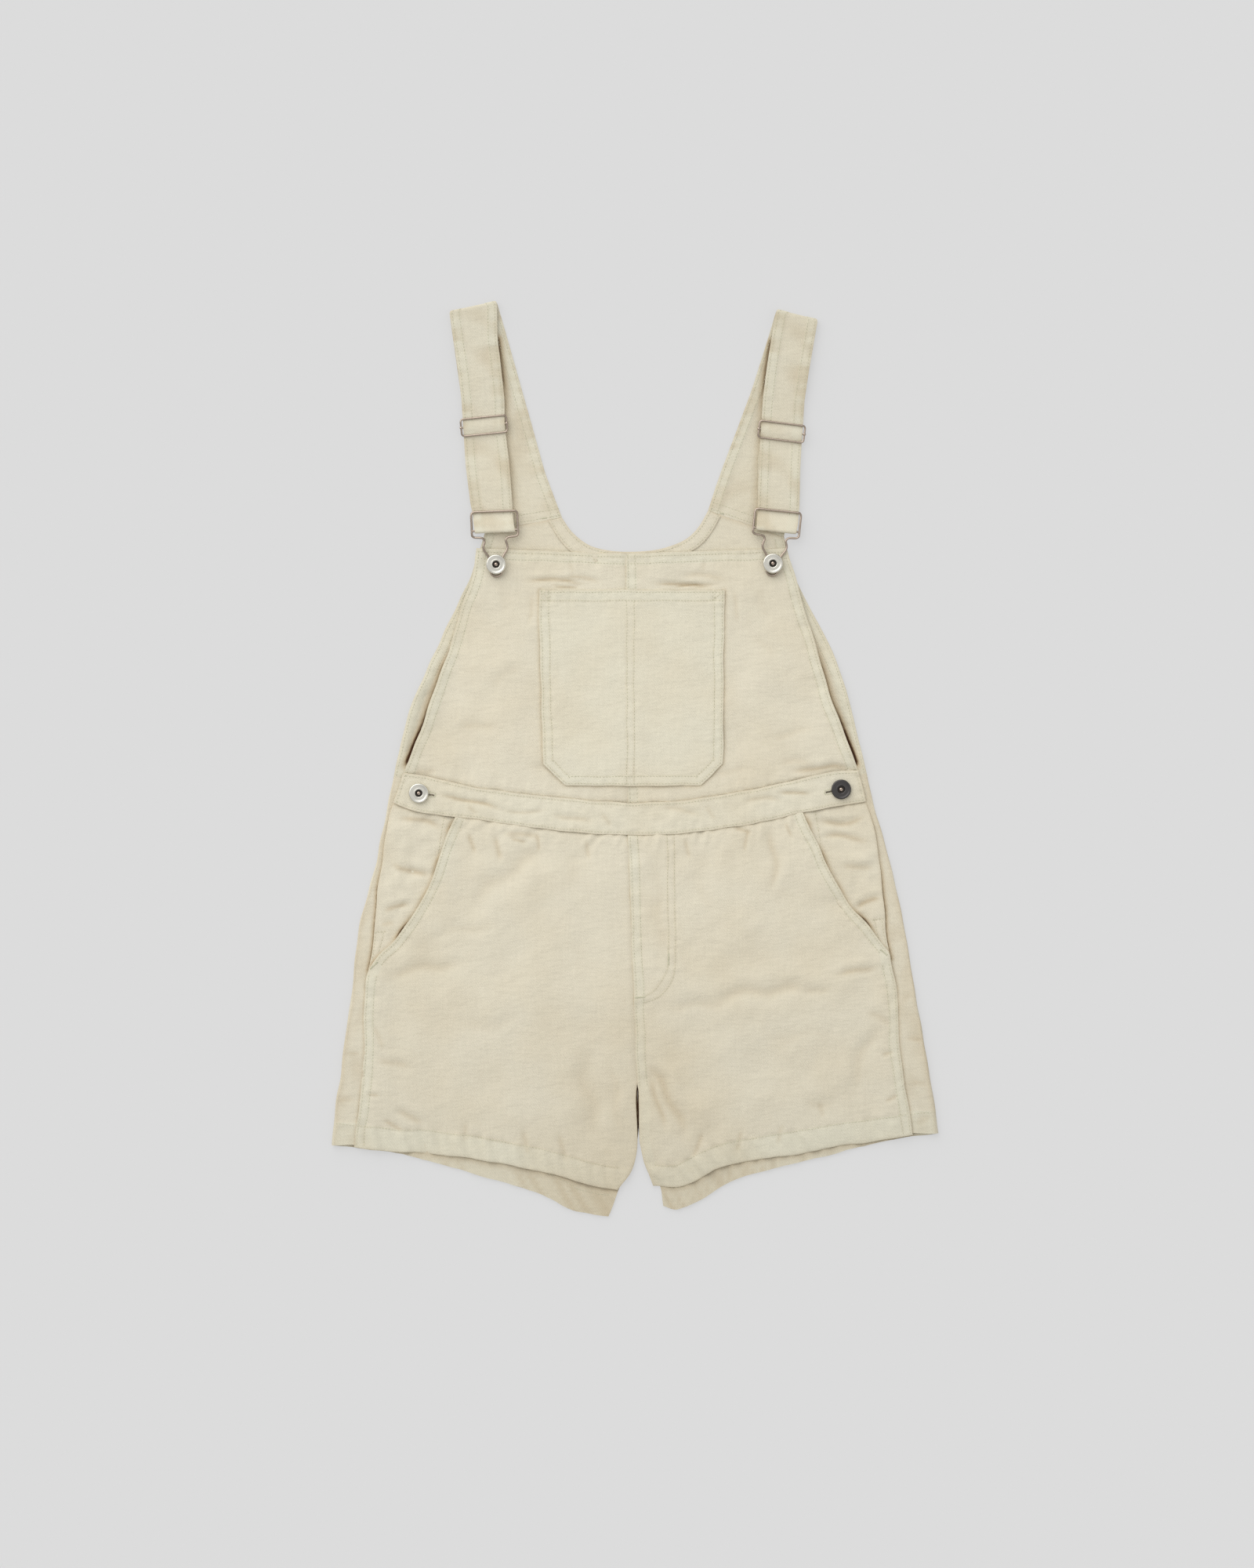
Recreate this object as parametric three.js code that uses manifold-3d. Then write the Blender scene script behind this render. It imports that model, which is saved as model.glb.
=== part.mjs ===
// Short bib overalls of cream cotton twill, laid out flat on their back with the buckles fastened.
// Millimetres. +X is to the right and +Y towards the shoulders, seen from above; +Z is up from the floor.
// The origin is the centre of the outline, on the floor. "Left" is the side at -X.
import * as THREE from "three";
import { mergeVertices } from "three/addons/utils/BufferGeometryUtils.js";
import Module from "manifold-3d";

const wasm = await Module();
wasm.setup();

// Cloth and seams
const CLOTH = 1.1; // one layer of twill
const SEAM_GAP = 0.5; // between the cut edges of two neighbouring panels
const LAYER_GAP = 0.3; // between a layer and the one that lies on it
const SEAM_BAND = 9.5; // width of a felled, twice-stitched seam
const SEAM_RISE = 0.8; // how far its folded allowances stand above one layer
const HEM_DEPTH = 20; // depth of the leg hems
const NECK_BAND = 11.5; // width of the neckline facing
const BAND_CLOTH = 2.2; // the doubled waistband
const STEP_RUN = 0.9; // width of the slope at the edge of a raised band

// Heights of the layers' middles above the floor
const BACK_MID = CLOTH / 2;
const FRONT_MID = 3.6; // front bib and front shorts, lying loosely on the back
const BEARER_MID = 3.2;
const BAND_MID = 4.0; // waistband in the middle
const PLACKET_FOLD = 1.1; // radius of the back panel's turn where the side is open
const SIDE_FOLD = 1.8; // radius of its turn beside the stitched side seam
const FLAP = { waist: 40, placket: 18 }; // how far the turned-up back runs in: the button tab, then the placket

// Hardware
const WIRE = 1.0; // radius of the buckle wire
const SLIDER_WIRE = 0.85;
const BUTTON_RADIUS = 8.8;
const SHANK_RADIUS = 2.5;

// The waistband's edges: x across, y of its top and bottom edge, and its middle's height.
const WAIST = [
  { x: -207, top: -13, bottom: -43.5, rise: 0.9 },
  { x: -191, top: -14.6, bottom: -48.2, rise: 0.9 },
  { x: -172, top: -19, bottom: -51, rise: 0.9 },
  { x: -147, top: -25, bottom: -53.8, rise: 0.5 },
  { x: -105, top: -31, bottom: -60.2, rise: 0.2 },
  { x: -60, top: -35.5, bottom: -65.2, rise: 0 },
  { x: -7, top: -39.5, bottom: -68.2, rise: 0 },
  { x: 35, top: -37.8, bottom: -67.5, rise: 0 },
  { x: 77, top: -32.5, bottom: -62.8, rise: 0.2 },
  { x: 119, top: -24.5, bottom: -55.2, rise: 0.5 },
  { x: 149, top: -17.5, bottom: -48.2, rise: 0.9 },
  { x: 173, top: -12.4, bottom: -44.2, rise: 0.9 },
  { x: 199, top: -10.2, bottom: -39.5, rise: 0.9 },
];
const WAIST_END = { left: { top: -207, bottom: -215.6 }, right: { top: 199, bottom: 205.9 } };

// Edges seen from above, as x, y from the top down.
const BIB_SIDE = {
  left: [[-141.8, 187.9], [-144, 170], [-149.8, 149.4], [-156.4, 132.7], [-165.5, 99], [-175, 74], [-184.4, 46.5],
    [-193.8, 19.9], [-202, 0], [-207, -13]],
  right: [[135.4, 187.9], [139.5, 174], [143.6, 160.6], [151.1, 132.7], [161.3, 102.5], [168.8, 74], [177.4, 46.5],
    [186.5, 23], [193.5, 4], [199, -10.2]],
};
const CENTRE_SEAM = [[-8.8, 183], [-8.2, 130], [-7.6, 75], [-7.2, 20], [-7, -39.5]];
const CENTRE_FRONT = [[-6.4, -68.2], [-4.5, -118], [-3.1, -171], [-1, -218], [0, -259], [1.4, -288]];
const INSEAM = {
  left: [[-0.6, -297], [1, -310], [2.2, -339], [0.7, -354.5], [-4.2, -370], [-15.3, -385.4]],
  right: [[4.4, -297], [3.6, -310], [3.4, -339], [4.8, -347], [8.8, -362], [16.4, -382]],
};
const POCKET_EDGE = {
  left: [[-160.6, -52.2], [-167.6, -67.5], [-174.6, -87.8], [-180.5, -104.6], [-187.7, -120.7], [-194.9, -133.3],
    [-204.8, -148.8], [-216.2, -163.4], [-227.8, -174.5], [-235.5, -184]],
  right: [[150.1, -48], [156.4, -63.3], [163.8, -77.3], [170.9, -94.8], [180.9, -113], [190.8, -129.2],
    [202.4, -143.1], [213.8, -156.2], [221.5, -165.5], [227.1, -173]],
};
const SIDE_SEAM = {
  left: [[-239.5, -193], [-241.3, -205], [-242.6, -226], [-242.4, -248], [-242.8, -269], [-244.2, -288],
    [-246.7, -312], [-249.5, -328], [-250.7, -347.2]],
  right: [[229.2, -184], [233, -204], [235.2, -224], [235.6, -248], [237.6, -270], [240.8, -291.5],
    [244.4, -311], [247.9, -336.3]],
};
const BEARER_SIDE = {
  left: [[-215.6, -41.2], [-219.8, -51], [-223.4, -74.5], [-227.1, -94.8], [-229.9, -116.2], [-231.3, -134.8],
    [-232.7, -154.3], [-234.6, -168], [-236.2, -178]],
  right: [[205.9, -38.6], [211, -52.1], [215.2, -74.5], [219.4, -103.2], [221.5, -123.5], [222.6, -137.5],
    [223.4, -150], [224.8, -160], [226.4, -168]],
};
const OUTER_SIDE = {
  left: [[-215.4, -14], [-218.8, -29.7], [-225.7, -64.8], [-232, -92.8], [-239, -120.7], [-246.7, -148.8],
    [-250.2, -176.8], [-253, -204.8], [-256.6, -232.7], [-260.8, -260.8], [-264.6, -288.8], [-268.6, -316.8],
    [-271.2, -345]],
  right: [[207, -14], [210.3, -29.7], [220.1, -64.8], [227.8, -92.8], [234.1, -120.7], [240.4, -148.8],
    [244.6, -176.8], [249.5, -204.8], [254.4, -232.7], [259.3, -260.8], [264.4, -288.8], [268.6, -316.8],
    [271.2, -334.5]],
};
const FRONT_HEM = {
  left: [[-250.7, -347.2], [-233.4, -349], [-213, -351.2], [-192, -351.6], [-169, -354.5], [-148.8, -356.6],
    [-117.2, -362.2], [-86.4, -368.5], [-64, -374.1], [-41, -381], [-15.3, -385.4]],
  right: [[16.4, -382], [39.3, -382.6], [54.2, -376.7], [72.4, -366.8], [100, -359.6], [130.5, -355.2],
    [160.6, -350.3], [176, -346.8], [204, -343.3], [247.9, -336.3]],
};
const BACK_HEM = {
  left: [[-271.2, -345], [-242, -348.5], [-214.5, -351.9], [-187.2, -358.8], [-161.3, -365.8], [-138.2, -372.8],
    [-113, -379.8], [-90, -386.8], [-74.5, -393.8], [-56, -403.6], [-38, -407.6], [-24.1, -409.1]],
  right: [[25.5, -399.3], [38.1, -402.8], [59.8, -393.8], [80.1, -380.4], [99.8, -372.8], [126.3, -365.8],
    [154.3, -358.8], [182.3, -351.8], [209.6, -344.8], [243.2, -338.2], [271.2, -334.5]],
};
const BACK_INSEAM = {
  left: [[0.5, -297], [1.2, -330], [-3, -362], [-15, -386.8], [-24.1, -409.1]],
  right: [[4.6, -297], [5.2, -330], [12, -358], [22.4, -383], [25.5, -399.3]],
};
const CENTRE_BACK = [[-4, -14], [-3, -100], [-1, -200], [2, -288]];
const ARMHOLE = {
  left: [[-134, 203], [-141, 180], [-148.8, 159.2], [-162, 131.2], [-175.3, 103.2], [-187.9, 75.2], [-199.8, 47.2],
    [-208.2, 19.2], [-211.2, 5.2], [-215.3, -13.4]],
  right: [[133, 198], [138.2, 176.8], [143.8, 159.2], [157.8, 131.2], [172.5, 103.2], [183.8, 75.2], [192.1, 47.2],
    [199.1, 19.2], [202.6, 5.2], [206.9, -13.4]],
};
// Neckline between the two strap seams, left to right.
const NECKLINE = [[-65.5, 215.2], [-57, 203], [-45.1, 192.8], [-33.2, 187.9], [-12.9, 184.7], [15.7, 186],
  [33, 190.3], [46.5, 196.8], [56.7, 207], [65.2, 221.5]];
const POCKET = {
  top: 150.6, bottom: -24.5, left: -86.4, right: 79.6, corner: 20, // corner: the length cut off each lower corner
};

// Soft folds of the front layer, each along a line: x0, y0 to x1, y1, half-width and height (negative: a trough).
const FRONT_FOLDS = [
  { x0: -76, y0: 158, x1: -34, y1: 154, width: 6, height: -0.9 },
  { x0: -70, y0: 168, x1: -28, y1: 166, width: 9, height: 0.7 },
  { x0: 16, y0: 155, x1: 56, y1: 155, width: 6, height: -0.9 },
  { x0: 20, y0: 167, x1: 60, y1: 166, width: 9, height: 0.7 },
  { x0: 142, y0: -4, x1: 188, y1: -1, width: 6, height: -0.9 },
  { x0: -190, y0: 2, x1: -140, y1: -10, width: 7, height: 0.8 },
  { x0: -150, y0: 110, x1: -176, y1: 30, width: 15, height: 0.8 },
  { x0: 140, y0: 95, x1: 168, y1: 30, width: 15, height: 0.8 },
  { x0: -150, y0: -136, x1: -80, y1: -82, width: 10, height: -1.1 },
  { x0: -132, y0: -142, x1: -60, y1: -96, width: 12, height: 1.0 },
  { x0: -128, y0: -62, x1: -124, y1: -92, width: 6, height: -0.8 },
  { x0: -20, y0: -82, x1: -14, y1: -205, width: 7, height: -0.9 },
  { x0: 62, y0: -78, x1: 62, y1: -135, width: 7, height: -0.9 },
  { x0: 120, y0: -60, x1: 123, y1: -92, width: 6, height: -0.9 },
  { x0: 24, y0: -222, x1: 160, y1: -209, width: 9, height: -1.1 },
  { x0: 30, y0: -240, x1: 165, y1: -226, width: 13, height: 0.9 },
  { x0: 14, y0: -280, x1: 50, y1: -345, width: 7, height: 1.2 },
  { x0: 34, y0: -282, x1: 72, y1: -340, width: 8, height: -0.9 },
  { x0: -48, y0: -262, x1: -36, y1: -340, width: 14, height: -1.0 },
  { x0: -22, y0: -268, x1: -14, y1: -345, width: 8, height: 0.9 },
  { x0: -214, y0: -312, x1: -178, y1: -327, width: 8, height: -0.9 },
  { x0: 160, y0: -300, x1: 176, y1: -318, width: 9, height: -0.9 },
  { x0: 196, y0: -298, x1: 216, y1: -240, width: 10, height: -0.8 },
  { x0: -200, y0: -220, x1: -90, y1: -232, width: 14, height: 0.9 },
  { x0: 178, y0: -191, x1: 216, y1: -185, width: 6, height: -0.8 },
];
const BEARER_FOLDS = [
  { x0: -214, y0: -52, x1: -172, y1: -66, width: 5, height: -0.8 },
  { x0: -216, y0: -74, x1: -186, y1: -80, width: 9, height: 0.8 },
  { x0: -218, y0: -92, x1: -182, y1: -104, width: 5, height: -0.9 },
  { x0: -222, y0: -118, x1: -200, y1: -120, width: 8, height: 0.7 },
  { x0: -222, y0: -137, x1: -196, y1: -131, width: 5, height: -0.8 },
  { x0: 162, y0: -57, x1: 206, y1: -53, width: 5, height: -0.8 },
  { x0: 172, y0: -66, x1: 210, y1: -64, width: 7, height: 0.7 },
  { x0: 168, y0: -76, x1: 211, y1: -77, width: 5, height: -0.9 },
  { x0: 186, y0: -104, x1: 214, y1: -102, width: 12, height: 0.8 },
  { x0: 196, y0: -132, x1: 219, y1: -126, width: 5, height: -0.8 },
];

// Straps, in the order they are sewn: the back run up from the back bib, then the front run down to the buckle.
// Each row is one section: its left and right end, and its middle's height above the floor.
const STRAP = {
  left: {
    back: [
      { lx: -134, ly: 203.4, rx: -65.5, ry: 215.6, z: BACK_MID },
      { lx: -138.5, ly: 229, rx: -73, ry: 235, z: BACK_MID },
      { lx: -144, ly: 256, rx: -80.8, ry: 256, z: BACK_MID },
      { lx: -150, ly: 290, rx: -90.5, ry: 291, z: BACK_MID },
      { lx: -156, ly: 327, rx: -101.1, ry: 328.6, z: BACK_MID },
      { lx: -161, ly: 362, rx: -110.8, ry: 363, z: BACK_MID },
      { lx: -164.3, ly: 385, rx: -118.2, ry: 389, z: BACK_MID },
    ],
    fold: { lx: -166.4, ly: 399.8, rx: -123.9, ry: 409.1 },
    front: [
      { lx: -162, ly: 370.6, rx: -123, ry: 376, z: 4.1 },
      { lx: -157.8, ly: 344, rx: -119.3, ry: 345, z: 4.3 },
      { lx: -155, ly: 318, rx: -116.7, ry: 320, z: 4.0 },
      { lx: -154.2, ly: 304.4, rx: -116.6, ry: 308.2, z: 3.5 },
      { lx: -153.6, ly: 295.2, rx: -116.6, ry: 299, z: 5.5 },
      { lx: -153, ly: 286, rx: -115.6, ry: 289.8, z: 3.5 },
      { lx: -151.5, ly: 262, rx: -112.6, ry: 265, z: 3.9 },
      { lx: -149, ly: 242, rx: -110.8, ry: 243, z: 3.9 },
      { lx: -147, ly: 226, rx: -109.8, ry: 226.6, z: 3.6 },
      { lx: -145, ly: 218.6, rx: -109.4, ry: 219.2, z: 3.55 },
      { lx: -144.6, ly: 211, rx: -108.8, ry: 211.6, z: 6.4 },
    ],
  },
  right: {
    back: [
      { lx: 65.2, ly: 221.9, rx: 133, ry: 198.4, z: BACK_MID },
      { lx: 72, ly: 243, rx: 136.5, ry: 226, z: BACK_MID },
      { lx: 78.8, ly: 262, rx: 141, ry: 257, z: BACK_MID },
      { lx: 91, ly: 294, rx: 146, ry: 291, z: BACK_MID },
      { lx: 103.9, ly: 328.6, rx: 150.8, ry: 327, z: BACK_MID },
      { lx: 114.2, ly: 361, rx: 155.6, ry: 358, z: BACK_MID },
      { lx: 121, ly: 383, rx: 159.4, ry: 377, z: BACK_MID },
    ],
    fold: { lx: 126.4, ly: 401.6, rx: 163.4, ry: 392.2 },
    front: [
      { lx: 121.4, ly: 374, rx: 159, ry: 368, z: 4.1 },
      { lx: 117.6, ly: 350, rx: 155, ry: 345, z: 4.3 },
      { lx: 114, ly: 322, rx: 151, ry: 318, z: 4.0 },
      { lx: 112.8, ly: 303.2, rx: 150, ry: 298.4, z: 3.5 },
      { lx: 112.3, ly: 294.2, rx: 149.1, ry: 289.5, z: 5.5 },
      { lx: 111.6, ly: 285, rx: 148.6, ry: 280.4, z: 3.5 },
      { lx: 110.6, ly: 262, rx: 147.4, ry: 259, z: 3.9 },
      { lx: 109.8, ly: 241, rx: 147, ry: 238, z: 3.9 },
      { lx: 109.2, ly: 225, rx: 146.6, ry: 221.4, z: 3.6 },
      { lx: 109.1, ly: 221.4, rx: 146.1, ry: 217.4, z: 3.55 },
      { lx: 108.6, ly: 213.6, rx: 145.5, ry: 209.6, z: 6.4 },
    ],
  },
};
const SHOULDER_FOLD = 1.7; // radius of the strap's turn over the shoulder
const RETURN_MID = 2.05; // the strap's end, on its way back up under itself
const BUCKLE = {
  left: { x: -124.2, y: 173.1, turn: 2.2 },
  right: { x: 122.8, y: 173.9, turn: -6 },
};
const BUCKLE_BAR = 30.5; // from the button's centre up to the cross bar
const BAR_Z = 6; // the cross bar's height
const BUCKLE_TOP = 47.5; // and to the top bar
const BUCKLE_HALF = 20.6; // half the frame's width, at the wire's centre
const LOOP_Z = 6.75; // height of the keyhole loop's foot
const SLIDER = {
  left: { x: -135.1, y: 297.1, turn: 5.9 },
  right: { x: 130.7, y: 291.8, turn: -7.2 },
};
const SLIDER_SIZE = { half: 20.45, rise: 7.6, frameZ: 5.5, barZ: 3.8 };
const HIP_BUTTON = { left: { x: -193.2, y: -31 }, right: { x: 183.8, y: -27.6 } };

// Curves and heights

// A smooth value at x, through rows of a table sorted by x.
function smooth(rows, key, x) {
  const n = rows.length;
  let i = 0;
  while (i < n - 2 && x > rows[i + 1].x) i++;
  const slope = (k) => {
    const a = rows[Math.max(k - 1, 0)];
    const b = rows[Math.min(k + 1, n - 1)];
    return (b[key] - a[key]) / (b.x - a.x);
  };
  const p = rows[i];
  const q = rows[i + 1];
  const run = q.x - p.x;
  const t = THREE.MathUtils.clamp((x - p.x) / run, 0, 1);
  const h = t * t * (3 - 2 * t);
  return p[key] * (1 - h) + q[key] * h + run * t * (1 - t) * ((1 - t) * slope(i) - t * slope(i + 1));
}

const waistTop = (x) => smooth(WAIST, "top", x);

// The waistband's lower edge, carried on past the table to its slanted ends.
function waistBottom(x) {
  const first = WAIST[0];
  const last = WAIST[WAIST.length - 1];
  if (x < first.x) return first.bottom + (first.x - x) * 0.42;
  if (x > last.x) return last.bottom + (x - last.x) * 0.2;
  return smooth(WAIST, "bottom", x);
}

// A spline through [x, y] points, read evenly along its length.
const edge = (...stretches) => new THREE.SplineCurve(stretches.flat().map(([x, y]) => new THREE.Vector2(x, y)));

// The stretch of a height curve y = f(x) between two x values, as an edge.
const along = (x0, x1, f) => ({
  getPointAt(t) {
    const x = THREE.MathUtils.lerp(x0, x1, t);
    return new THREE.Vector2(x, f(x));
  },
});

const line = (a, b) => new THREE.LineCurve(new THREE.Vector2(...a), new THREE.Vector2(...b));

function distanceToLine(x, y, f) {
  const dx = f.x1 - f.x0;
  const dy = f.y1 - f.y0;
  const t = ((x - f.x0) * dx + (y - f.y0) * dy) / (dx * dx + dy * dy);
  const s = THREE.MathUtils.clamp(t, 0, 1);
  return Math.hypot(x - f.x0 - s * dx, y - f.y0 - s * dy);
}

// The sum of soft folds at a point: each is a bell across its line, rounded off past its ends.
const foldHeight = (folds, x, y) =>
  folds.reduce((sum, f) => sum + f.height * Math.exp(-((distanceToLine(x, y, f) / f.width) ** 2)), 0);

const ease = (a, b, x) => THREE.MathUtils.smoothstep(x, a, b);

const outerX = {
  left: OUTER_SIDE.left.map(([x, y]) => ({ x: -y, side: x })),
  right: OUTER_SIDE.right.map(([x, y]) => ({ x: -y, side: x })),
};
const sideX = (side, y) => smooth(outerX[side], "side", -y);

const pocketLine = {
  left: edge(POCKET_EDGE.left, SIDE_SEAM.left).getSpacedPoints(60),
  right: edge(POCKET_EDGE.right, SIDE_SEAM.right).getSpacedPoints(60),
};
const toPocketEdge = (side, x, y) => Math.min(...pocketLine[side].map((p) => Math.hypot(p.x - x, p.y - y)));

// The turned-up back runs in furthest at the waist, where it carries the hip button.
const flapReach = (y) => THREE.MathUtils.lerp(FLAP.waist, FLAP.placket, ease(36, 56, -y));

// Middle of the pocket bearer: it rides up over the turned-up back beside the placket, and its troughs
// end there.
function bearerHeight(side, x, y) {
  const inFromSide = Math.abs(x - sideX(side, y));
  const reach = flapReach(y);
  const overFlap = 1 - ease(reach + 3, reach + 17, inFromSide);
  const fold = foldHeight(BEARER_FOLDS, x, y);
  return BEARER_MID + 0.95 * overFlap + THREE.MathUtils.lerp(fold, Math.max(fold, 0), ease(0, 0.3, overFlap));
}

const flapHeight = (y) => 2 * foldRadius(y) + BACK_MID;

// The back panel's turn is tight where the side is open and rounder beside the seam below.
function foldRadius(y) {
  return THREE.MathUtils.lerp(PLACKET_FOLD, SIDE_FOLD, ease(186, 222, -y));
}

// Middle of the front shorts: loose in the thigh, raised over the pocket bearer and level with the side flap.
function frontHeight(side, x, y) {
  const loose = FRONT_MID + foldHeight(FRONT_FOLDS, x, y) + 0.5 * ease(-90, -70, y);
  const onBearer = bearerHeight(side, x, Math.max(y, side === "left" ? -178 : -168)) + 1.75;
  const seamLevel = THREE.MathUtils.lerp(onBearer, flapHeight(y), ease(184, 215, -y));
  return THREE.MathUtils.lerp(seamLevel, loose, ease(12, 34, toPocketEdge(side, x, y)));
}

const bibHeight = (x, y) => FRONT_MID + foldHeight(FRONT_FOLDS, x, y);
const bandHeight = (x) => BAND_MID + smooth(WAIST, "rise", x);

// Walls

// A closed wall between two equal grids of points, outside and inside, faced outwards.
function wall(outer, inner) {
  const rows = outer.length;
  const cols = outer[0].length;
  const points = [...outer.flat(), ...inner.flat()];
  const half = rows * cols;
  const index = [];
  const quad = (a, b, c, d) => index.push(a, b, c, a, c, d);
  for (let i = 0; i < rows - 1; i++) {
    for (let j = 0; j < cols - 1; j++) {
      const a = i * cols + j;
      quad(a, a + cols, a + cols + 1, a + 1);
      quad(half + a, half + a + 1, half + a + cols + 1, half + a + cols);
    }
  }
  const rim = [];
  for (let j = 0; j < cols - 1; j++) rim.push(j);
  for (let i = 0; i < rows - 1; i++) rim.push(i * cols + cols - 1);
  for (let j = cols - 1; j > 0; j--) rim.push((rows - 1) * cols + j);
  for (let i = rows - 1; i > 0; i--) rim.push(i * cols);
  rim.forEach((a, k) => {
    const b = rim[(k + 1) % rim.length];
    quad(a, b, half + b, half + a);
  });
  const geometry = new THREE.BufferGeometry();
  geometry.setAttribute("position", new THREE.Float32BufferAttribute(points.flatMap((p) => [p.x, p.y, p.z]), 3));
  geometry.setIndex(index);
  return facedOut(geometry);
}

// Turns a closed geometry's faces round if they point inwards.
function facedOut(geometry) {
  const p = geometry.getAttribute("position");
  const a = new THREE.Vector3();
  const b = new THREE.Vector3();
  const c = new THREE.Vector3();
  const index = geometry.index.array;
  let volume = 0;
  for (let i = 0; i < index.length; i += 3) {
    a.fromBufferAttribute(p, index[i]);
    b.fromBufferAttribute(p, index[i + 1]);
    c.fromBufferAttribute(p, index[i + 2]);
    volume += a.dot(b.cross(c));
  }
  if (volume < 0) {
    for (let i = 0; i < index.length; i += 3) [index[i + 1], index[i + 2]] = [index[i + 2], index[i + 1]];
  }
  geometry.computeVertexNormals();
  return geometry;
}

// A point inside four edges that share their corners.
function patchPoint({ top, bottom, left, right }, u, v) {
  const t = top.getPointAt(u);
  const b = bottom.getPointAt(u);
  const l = left.getPointAt(v);
  const r = right.getPointAt(v);
  const corner = (c, s) => c.getPointAt(s);
  const mix = (key) =>
    (1 - v) * t[key] + v * b[key] + (1 - u) * l[key] + u * r[key] -
    (1 - v) * ((1 - u) * corner(top, 0)[key] + u * corner(top, 1)[key]) -
    v * ((1 - u) * corner(bottom, 0)[key] + u * corner(bottom, 1)[key]);
  return { x: mix("x"), y: mix("y") };
}

// Places across a length for one direction of a panel's grid: a stitched band at either end has its own
// two places and a short slope, and the rest is divided evenly. Says for each place if it is on a band.
function places(length, divisions, first, last) {
  const at = [{ s: SEAM_GAP / 2, band: Boolean(first) }];
  if (first) at.push({ s: first, band: true }, { s: first + STEP_RUN, band: false });
  const from = at[at.length - 1].s;
  const to = length - (last ? last + STEP_RUN : SEAM_GAP / 2);
  for (let k = 1; k < divisions; k++) at.push({ s: from + ((to - from) * k) / divisions, band: false });
  at.push({ s: to, band: false });
  if (last) at.push({ s: length - last, band: true }, { s: length - SEAM_GAP / 2, band: true });
  return at.map(({ s, band }) => ({ t: s / length, band }));
}

// A panel's grid seen from above, with a note of which points stand on a raised band.
function panelGrid(edges, { columns, rows, bands = {} }) {
  const across = (v) => edges.left.getPointAt(v).distanceTo(edges.right.getPointAt(v));
  const down = (u) => edges.top.getPointAt(u).distanceTo(edges.bottom.getPointAt(u));
  const grid = [];
  const count = places(down(0.5), rows, bands.top, bands.bottom).length;
  for (let i = 0; i < count; i++) {
    const nominal = places(down(0.5), rows, bands.top, bands.bottom)[i].t;
    const cross = places(across(nominal), columns, bands.left, bands.right);
    grid.push(cross.map((c) => {
      const r = places(down(c.t), rows, bands.top, bands.bottom)[i];
      return { ...patchPoint(edges, c.t, r.t), raised: c.band || r.band };
    }));
  }
  return grid;
}

// A panel lying face up: its inside is plain and its bands are raised in the outside.
function panel(edges, shape) {
  const { height, thickness = CLOTH, rise = () => SEAM_RISE } = shape;
  const grid = panelGrid(edges, shape);
  const at = (p, dz) => new THREE.Vector3(p.x, p.y, height(p.x, p.y) + dz);
  const outer = grid.map((row) => row.map((p) => at(p, thickness / 2 + (p.raised ? rise(p.x, p.y) : 0))));
  const inner = grid.map((row) => row.map((p) => at(p, -thickness / 2)));
  return wall(outer, inner);
}

// Solids as manifold-3d needs them, and back.
function toSolid(geometry) {
  const plain = new THREE.BufferGeometry();
  plain.setAttribute("position", geometry.getAttribute("position").clone());
  if (geometry.index) plain.setIndex(geometry.index.clone());
  const merged = mergeVertices(plain, 1e-3);
  return new wasm.Manifold(new wasm.Mesh({
    numProp: 3,
    vertProperties: merged.getAttribute("position").array,
    triVerts: new Uint32Array(merged.index.array),
  }));
}

function toGeometry(solid) {
  const mesh = solid.getMesh();
  const geometry = new THREE.BufferGeometry();
  geometry.setAttribute("position", new THREE.BufferAttribute(new Float32Array(mesh.vertProperties), 3));
  geometry.setIndex(new THREE.BufferAttribute(new Uint32Array(mesh.triVerts), 1));
  geometry.computeVertexNormals();
  return geometry;
}

const joined = (...geometries) => toGeometry(geometries.map(toSolid).reduce((a, b) => a.add(b)));

// Front of the bib

function bib(side) {
  const left = side === "left" ? edge(BIB_SIDE.left) : edge(CENTRE_SEAM);
  const right = side === "left" ? edge(CENTRE_SEAM) : edge(BIB_SIDE.right);
  const [x0, x1] = [left.getPointAt(0).x, right.getPointAt(0).x];
  const [w0, w1] = [left.getPointAt(1).x, right.getPointAt(1).x];
  const edges = {
    top: line([x0, left.getPointAt(0).y], [x1, right.getPointAt(0).y]),
    bottom: along(w0, w1, waistTop),
    left,
    right,
  };
  const underPocket = (x, y) =>
    x > POCKET.left && x < POCKET.right && y > POCKET.bottom && y < POCKET.top + 17;
  return panel(edges, {
    columns: 9,
    rows: 13,
    bands: { top: SEAM_BAND, left: SEAM_BAND, right: side === "left" ? undefined : SEAM_BAND },
    height: bibHeight,
    rise: (x, y) => (underPocket(x, y) ? 0 : SEAM_RISE),
  });
}

// The patch pocket: a rectangle with its lower corners cut off, hemmed at the top, lying on the bib.
function bibPocket() {
  const { top, bottom, left, right, corner } = POCKET;
  const cut = corner / (right - left);
  const edges = {
    top: line([left, top], [right, top]),
    left: line([left, top], [left + 4, bottom + corner]),
    right: line([right, top], [right - 1, bottom + corner]),
    bottom: {
      getPointAt(t) {
        const fromEnd = Math.min(t, 1 - t);
        const x = THREE.MathUtils.lerp(left + 4, right - 1, t);
        return new THREE.Vector2(x, bottom + corner * (1 - Math.min(fromEnd / cut, 1)));
      },
    },
  };
  return panel(edges, {
    columns: 8,
    rows: 9,
    bands: { top: SEAM_BAND },
    height: (x, y) => bibHeight(x, y) + CLOTH + LAYER_GAP + 0.3,
    rise: () => 0.5,
  });
}

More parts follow.
